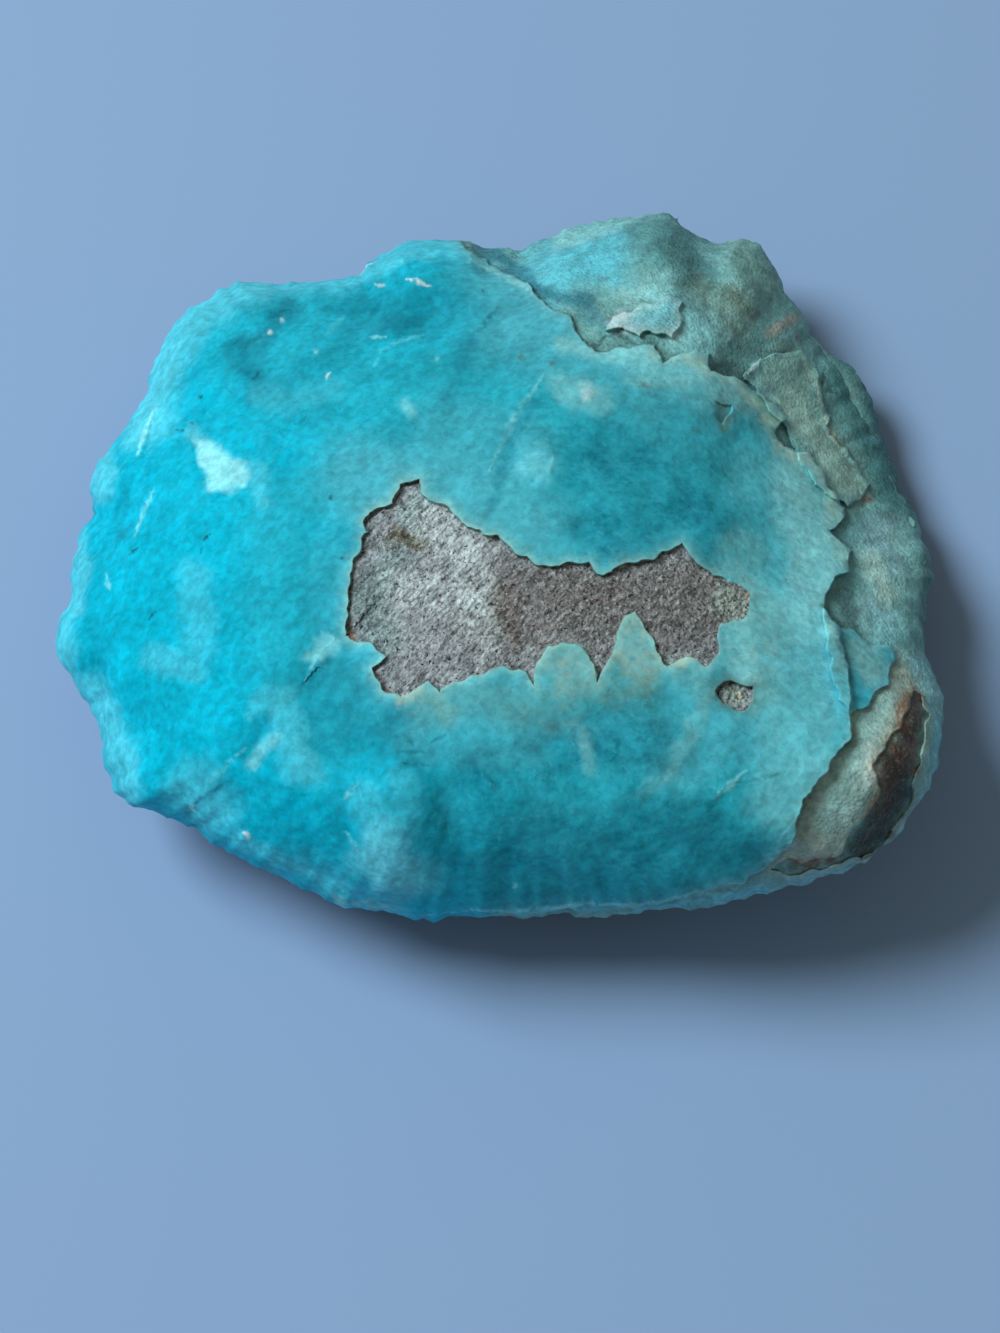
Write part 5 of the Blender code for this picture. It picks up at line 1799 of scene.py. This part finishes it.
@dataclass(frozen=True)
class Bench:
    """Adds and links the nodes of one tree."""

    tree: bpy.types.NodeTree

    def add(self, kind: str, settings: dict | None = None, inputs: dict | None = None) -> bpy.types.Node:
        """Adds a node.

        Args:
            kind: The node's type, without ShaderNode in front.
            settings: Values of the node's own properties.
            inputs: Values or output sockets for its inputs, by name or number.

        Returns:
            The node.
        """
        node = self.tree.nodes.new("ShaderNode" + kind)
        for name, value in (settings or {}).items():
            setattr(node, name, value)
        for name, value in (inputs or {}).items():
            self.feed(node.inputs[name], value)
        return node

    def feed(self, socket: Socket, value: object) -> None:
        """Gives an input a value of its own, or links another node's output to it.

        Args:
            socket: The input.
            value: The value or the output.
        """
        if isinstance(value, Socket):
            self.tree.links.new(value, socket)
        else:
            socket.default_value = value

    def place(self, group: bpy.types.NodeTree, **inputs: object) -> bpy.types.Node:
        """Places a node group, with its own values."""
        return self.add("Group", {"node_tree": group}, inputs)

    def product(self, first: Socket | float, second: Socket | float) -> Socket:
        """The product of two values."""
        return self.add("Math", {"operation": "MULTIPLY"}, {0: first, 1: second}).outputs[0]

    def spread(self, value: Socket, span: tuple[object, object], onto: tuple[object, object]) -> Socket:
        """Maps a value's range onto another one, and holds it within that.

        Args:
            value: The value.
            span: Where its range starts and ends.
            onto: Where the other range starts and ends.

        Returns:
            The mapped value.
        """
        limits = {"From Min": span[0], "From Max": span[1], "To Min": onto[0], "To Max": onto[1]}
        settings = {"interpolation_type": "SMOOTHSTEP"}
        return self.add("MapRange", settings, {"Value": value, **limits}).outputs["Result"]

    def mixed(self, share: Socket, first: Socket, second: object) -> Socket:
        """Mixes two colours.

        Args:
            share: How much of the second one there is.
            first: The first colour.
            second: The second colour.

        Returns:
            The mixed colour.
        """
        node = self.add("Mix", {"data_type": "RGBA", "blend_type": "MIX"})
        inputs = {socket.identifier: socket for socket in node.inputs}
        self.feed(inputs["Factor_Float"], share)
        self.feed(inputs["A_Color"], first)
        self.feed(inputs["B_Color"], second)
        return next(socket for socket in node.outputs if socket.identifier == "Result_Color")

    def scaled(self, colour: Socket, factor: Socket | float) -> Socket:
        """A colour made lighter or darker, or a place in another unit."""
        settings = {"operation": "SCALE"}
        return self.add("VectorMath", settings, {"Vector": colour, "Scale": factor}).outputs["Vector"]


class EffectGroups:
    """The node groups that several finishes use."""

    CLOUD_NOISE = {"Detail": 3.0, "Roughness": 0.62, "Distortion": 0.3}
    CLOUD_SPAN = (0.32, 0.68)
    STREAK_TURN = math.radians(52)
    STREAK_STRETCH = 3.0
    HAZES = ((0.45, 1.0), (1.6, 0.8))
    FINE_NOISE = {"Detail": 4.0, "Roughness": 0.7}
    FLECK_NOISE = {"Detail": 2.0, "Roughness": 0.8, "Distortion": 0.6}
    CELL_SPAN = (0.0, 0.8)
    CELL_SHARE = 0.45
    PALE_SPAN = (0.56, 0.7)
    DARK_SPAN = (0.42, 0.3)

    def __init__(self) -> None:
        """Builds each group once."""
        self.cloud = self.build_cloud()
        self.streaks = self.build_streaks()
        self.haze = self.build_haze()
        self.grain = self.build_grain()

    @staticmethod
    def begun(
        name: str, inputs: dict[str, str], outputs: dict[str, str]
    ) -> tuple[Bench, bpy.types.NodeOutputs, bpy.types.NodeInputs]:
        """Starts a group.

        Args:
            name: The group's name.
            inputs: The kind of each input socket, by name.
            outputs: The kind of each output socket, by name.

        Returns:
            A bench for its nodes, the sockets that give its inputs, and those that take its outputs.
        """
        tree = bpy.data.node_groups.new(name, "ShaderNodeTree")
        for way, sockets in (("INPUT", inputs), ("OUTPUT", outputs)):
            for socket, kind in sockets.items():
                tree.interface.new_socket(socket, in_out=way, socket_type="NodeSocket" + kind)
        given, made = tree.nodes.new("NodeGroupInput"), tree.nodes.new("NodeGroupOutput")
        return Bench(tree), given.outputs, made.inputs

    def build_cloud(self) -> bpy.types.NodeTree:
        """Builds soft light and dark clouds, as a factor for a colour.

        Returns:
            The group.
        """
        inputs = {"Vector": "Vector", "Scale": "Float", "Low": "Float", "High": "Float"}
        bench, given, made = self.begun("cloud", inputs, {"Shade": "Float"})
        place = {"Vector": given["Vector"], "Scale": given["Scale"]}
        pattern = bench.add("TexNoise", None, {**place, **self.CLOUD_NOISE})
        shade = bench.spread(pattern.outputs["Fac"], self.CLOUD_SPAN, (given["Low"], given["High"]))
        bench.feed(made["Shade"], shade)
        return bench.tree

    def build_streaks(self) -> bpy.types.NodeTree:
        """Builds clouds stretched into slanting streaks, as a factor for a colour.

        Returns:
            The group.
        """
        inputs = {"Vector": "Vector", "Scale": "Float", "Low": "Float", "High": "Float"}
        bench, given, made = self.begun("streaks", inputs, {"Shade": "Float"})
        stretched = {"Rotation": (0.0, 0.0, self.STREAK_TURN), "Scale": (self.STREAK_STRETCH, 1.0, 1.0)}
        along = bench.add("Mapping", {"vector_type": "TEXTURE"}, {"Vector": given["Vector"], **stretched})
        span = {"Scale": given["Scale"], "Low": given["Low"], "High": given["High"]}
        cloud = bench.place(self.cloud, Vector=along.outputs["Vector"], **span)
        bench.feed(made["Shade"], cloud.outputs["Shade"])
        return bench.tree

    def build_haze(self) -> bpy.types.NodeTree:
        """Builds pale clouds of two sizes, which lie over a colour.

        Returns:
            The group.
        """
        inputs = {"Vector": "Vector", "Amount": "Float", "Colour": "Color", "Haze": "Color"}
        bench, given, made = self.begun("haze", inputs, {"Colour": "Color"})
        colour = given["Colour"]
        for scale, share in self.HAZES:
            high = bench.product(given["Amount"], share)
            cloud = bench.place(self.cloud, Vector=given["Vector"], Scale=scale, Low=0.0, High=high)
            colour = bench.mixed(cloud.outputs["Shade"], colour, given["Haze"])
        bench.feed(made["Colour"], colour)
        return bench.tree

    def build_grain(self) -> bpy.types.NodeTree:
        """Builds crystal grains: a height for bumps, pale grains and dark specks between them.

        Returns:
            The group.
        """
        inputs = {"Vector": "Vector", "Scale": "Float", "Pale": "Float", "Dark": "Float"}
        outputs = {"Height": "Float", "Pale": "Float", "Dark": "Float"}
        bench, given, made = self.begun("grain", inputs, outputs)
        place = {"Vector": given["Vector"], "Scale": given["Scale"]}
        fine = bench.add("TexNoise", None, {**place, **self.FINE_NOISE}).outputs["Fac"]
        cells = bench.add("TexVoronoi", {"feature": "F1"}, {**place, "Randomness": 1.0}).outputs["Distance"]
        flecks = bench.add("TexNoise", None, {**place, **self.FLECK_NOISE}).outputs["Fac"]
        dome = bench.product(bench.spread(cells, self.CELL_SPAN, (1.0, 0.0)), self.CELL_SHARE)
        bench.feed(made["Height"], bench.add("Math", {"operation": "ADD"}, {0: dome, 1: fine}).outputs[0])
        for name, span in (("Pale", self.PALE_SPAN), ("Dark", self.DARK_SPAN)):
            bench.feed(made[name], bench.product(bench.spread(flecks, span, (0.0, 1.0)), given[name]))
        return bench.tree


@dataclass(frozen=True)
class Clouds:
    """Soft light and dark clouds: how fine they are, and the shades between which they vary."""

    scale: float
    low: float
    high: float

    def inputs(self) -> dict[str, float]:
        """Their values for a node group."""
        return {"Scale": self.scale, "Low": self.low, "High": self.high}


@dataclass(frozen=True)
class Finish:
    """One kind of surface, in millimetres: its clouds, its grain, its gloss and how light gets into it."""

    name: str
    clouds: Clouds
    patches: Clouds
    streaks: Clouds
    grain_scale: float
    pale: float
    pale_tone: Tone
    dark: float
    dark_tone: Tone
    bump_depth: float
    roughness: Pair
    specular: float
    glow: float
    glow_depth: float
    glow_reach: Triple = (0.35, 0.9, 1.0)
    specular_tint: Triple = (1.0, 1.0, 1.0)
    follows_mottle: bool = False
    haze: float = 0.0
    haze_tone: Tone = Tone.SKY

    GLOSS_SPAN = (0.3, 0.9)

    def material(self, groups: EffectGroups) -> bpy.types.Material:
        """Builds the finish.

        Args:
            groups: The node groups it draws on.

        Returns:
            Its material.
        """
        material = bpy.data.materials.new(self.name)
        material.use_nodes = True
        bench = Bench(material.node_tree)
        vector = bench.scaled(bench.add("TexCoord").outputs["Object"], 1.0 / MM)
        pale, dark = self.pale, self.dark
        if self.follows_mottle:
            pale, dark = self.mottled(bench, pale), self.mottled(bench, dark)
        grain = bench.place(groups.grain, Vector=vector, Scale=self.grain_scale, Pale=pale, Dark=dark)
        colour = self.clouded(bench, groups, vector)
        colour = bench.mixed(grain.outputs["Pale"], colour, (*self.pale_tone.linear, 1.0))
        colour = bench.mixed(grain.outputs["Dark"], colour, (*self.dark_tone.linear, 1.0))
        height = grain.outputs["Height"]
        bump = bench.add("Bump", None, {"Height": height, "Distance": self.bump_depth * MM, "Strength": 1.0})
        shader = material.node_tree.nodes["Principled BSDF"]
        for name, value in (
            ("Base Color", colour),
            ("Normal", bump.outputs["Normal"]),
            ("Roughness", bench.spread(height, self.GLOSS_SPAN, self.roughness)),
            ("Subsurface Weight", self.glow),
            ("Subsurface Radius", self.glow_reach),
            ("Subsurface Scale", self.glow_depth * MM),
            ("Specular IOR Level", self.specular),
            ("Specular Tint", (*self.specular_tint, 1.0)),
        ):
            bench.feed(shader.inputs[name], value)
        return material

    @staticmethod
    def mottled(bench: Bench, value: float) -> Socket:
        """A value made less where the stone is less mottled."""
        return bench.product(bench.add("Attribute", {"attribute_name": MOTTLE_NAME}).outputs["Fac"], value)

    def clouded(self, bench: Bench, groups: EffectGroups, vector: Socket) -> Socket:
        """Takes the laid-on colour, and lays clouds, patches, streaks and haze over it.

        Args:
            bench: The material's bench.
            groups: The node groups.
            vector: The place in millimetres.

        Returns:
            The colour.
        """
        colour = bench.add("Attribute", {"attribute_name": TONE_NAME}).outputs["Color"]
        streaks = (groups.streaks, self.streaks)
        for group, clouds in ((groups.cloud, self.clouds), (groups.cloud, self.patches), streaks):
            shade = bench.place(group, Vector=vector, **clouds.inputs()).outputs["Shade"]
            colour = bench.scaled(colour, shade)
        if self.haze:
            haze = {"Colour": colour, "Haze": (*self.haze_tone.linear, 1.0)}
            amount = self.mottled(bench, self.haze)
            colour = bench.place(groups.haze, Vector=vector, Amount=amount, **haze).outputs["Colour"]
        return colour


FINISHES = {
    Region.CRUST: Finish(
        name="waxy_blue_crust",
        clouds=Clouds(0.22, 0.86, 1.1),
        patches=Clouds(1.5, 0.8, 1.1),
        streaks=Clouds(1.2, 0.9, 1.08),
        grain_scale=1.7,
        pale=0.1,
        pale_tone=Tone.FOAM,
        dark=0.3,
        dark_tone=Tone.TEAL,
        bump_depth=0.045,
        roughness=(0.6, 0.46),
        specular=0.09,
        glow=0.4,
        glow_depth=0.6,
        specular_tint=(0.05, 0.85, 1.0),
        follows_mottle=True,
        haze=0.3,
        haze_tone=Tone.MIST,
    ),
    Region.WINDOW: Finish(
        name="sandy_window_stone",
        clouds=Clouds(0.7, 0.82, 1.14),
        patches=Clouds(2.2, 0.8, 1.16),
        streaks=Clouds(3.4, 0.5, 1.5),
        grain_scale=3.2,
        pale=0.5,
        pale_tone=Tone.SNOW,
        dark=1.5,
        dark_tone=Tone.SOOT,
        bump_depth=0.3,
        roughness=(0.9, 0.7),
        specular=0.3,
        glow=0.1,
        glow_depth=0.4,
    ),
    Region.LAYER: Finish(
        name="broken_green_layer",
        clouds=Clouds(0.5, 0.84, 1.14),
        patches=Clouds(1.8, 0.84, 1.14),
        streaks=Clouds(1.4, 0.88, 1.1),
        grain_scale=3.2,
        pale=0.25,
        pale_tone=Tone.FOAM,
        dark=0.45,
        dark_tone=Tone.SLATE,
        bump_depth=0.1,
        roughness=(0.72, 0.5),
        specular=0.25,
        glow=0.2,
        glow_depth=0.7,
        haze=0.15,
        haze_tone=Tone.FOAM,
    ),
    Region.BARE: Finish(
        name="bare_grey_stone",
        clouds=Clouds(0.3, 0.82, 1.14),
        patches=Clouds(1.6, 0.82, 1.14),
        streaks=Clouds(1.6, 0.85, 1.12),
        grain_scale=2.8,
        pale=0.3,
        pale_tone=Tone.CREAM,
        dark=0.55,
        dark_tone=Tone.BARK,
        bump_depth=0.14,
        roughness=(0.92, 0.75),
        specular=0.3,
        glow=0.0,
        glow_depth=0.3,
    ),
}


def added(name: str, data: bpy.types.ID) -> bpy.types.Object:
    """Adds an object to the scene.

    Args:
        name: Its name.
        data: Its mesh, light or camera.

    Returns:
        The object.
    """
    item = bpy.data.objects.new(name, data)
    bpy.context.scene.collection.objects.link(item)
    return item


@dataclass(frozen=True)
class Stone:
    """The whole stone, in the place of its solid."""

    face: Face = Face()
    edge: BrokenEdge = BrokenEdge()
    spacing: Spacing = Spacing()

    def build(self, groups: EffectGroups) -> bpy.types.Object:
        """Builds the stone and puts it in its solid's place.

        Args:
            groups: The node groups that its finishes use.

        Returns:
            The stone.
        """
        form = StoneForm(self.face, Rim(self.edge))
        mesh = StoneMesh(form, self.edge, self.spacing).build()
        for region in Region:
            mesh.materials.append(FINISHES[region].material(groups))
        stone = added("dressed_stone", mesh)
        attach(stone, BODY)
        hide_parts(NODE)
        return stone


@dataclass(frozen=True)
class Studio:
    """A pale floor, a window's soft light from the left, a dim warm room, and the camera."""

    floor_size: float = 3.0
    floor_gap: float = 0.0002
    floor_colour: Triple = (0.225, 0.385, 0.63)
    floor_roughness: float = 0.9
    key_place: Triple = (-0.48, 0.11, 0.65)
    key_size: float = 0.42
    key_power: float = 6.5
    room_colour: Triple = (0.25, 0.22, 0.18)
    lens: float = 100.0
    sensor: float = 36.0
    nearest: float = 0.01

    def build(self, face: Face) -> None:
        """Sets up everything round the stone.

        Args:
            face: The stone's face, which the camera looks at squarely.
        """
        self.add_floor()
        self.add_key()
        self.add_room()
        self.add_camera(face)
        bpy.context.scene.view_settings.view_transform = "Standard"

    def add_floor(self) -> None:
        """Lays the floor."""
        half = self.floor_size / 2.0
        mesh = bpy.data.meshes.new("floor")
        plan = ((-half, -half), (half, -half), (half, half), (-half, half))
        corners = [(x, y, -self.floor_gap) for x, y in plan]
        mesh.from_pydata(corners, [], [(0, 1, 2, 3)])
        material = bpy.data.materials.new("pale_paper")
        material.use_nodes = True
        shader = material.node_tree.nodes["Principled BSDF"]
        shader.inputs["Base Color"].default_value = (*self.floor_colour, 1.0)
        shader.inputs["Roughness"].default_value = self.floor_roughness
        mesh.materials.append(material)
        floor = added("floor", mesh)

    def add_key(self) -> None:
        """Hangs the window's light."""
        light = bpy.data.lights.new("window_light", "AREA")
        light.shape = "DISK"
        light.size = self.key_size
        light.energy = self.key_power
        lamp = added("window_light", light)
        lamp.location = self.key_place
        lamp.rotation_euler = (-lamp.location).to_track_quat("-Z", "Y").to_euler()

    def add_room(self) -> None:
        """Lights the rest of the room."""
        world = bpy.data.worlds.new("room")
        world.use_nodes = True
        world.node_tree.nodes["Background"].inputs["Color"].default_value = (*self.room_colour, 1.0)
        bpy.context.scene.world = world

    def add_camera(self, face: Face) -> None:
        """Puts the camera at the face's sight point.

        Args:
            face: The stone's face.
        """
        data = bpy.data.cameras.new("camera")
        data.lens = self.lens
        data.sensor_width = self.sensor
        data.clip_start = self.nearest
        camera = added("camera", data)
        camera.location = Vector(face.eye * MM)
        camera.rotation_euler = (face.lean, 0.0, 0.0)
        bpy.context.scene.camera = camera


def main() -> None:
    """Builds the stone and the studio, and logs the stone's number of faces."""
    logging.basicConfig(level=logging.INFO, format="%(message)s")
    stone = Stone()
    dressed = stone.build(EffectGroups())
    LOG.info("%s: %d faces", dressed.name, len(dressed.data.polygons))
    Studio().build(stone.face)
    LOG.info("studio: floor, light, room and camera")
    bpy.context.view_layer.update()


if __name__ == "__main__":
    main()
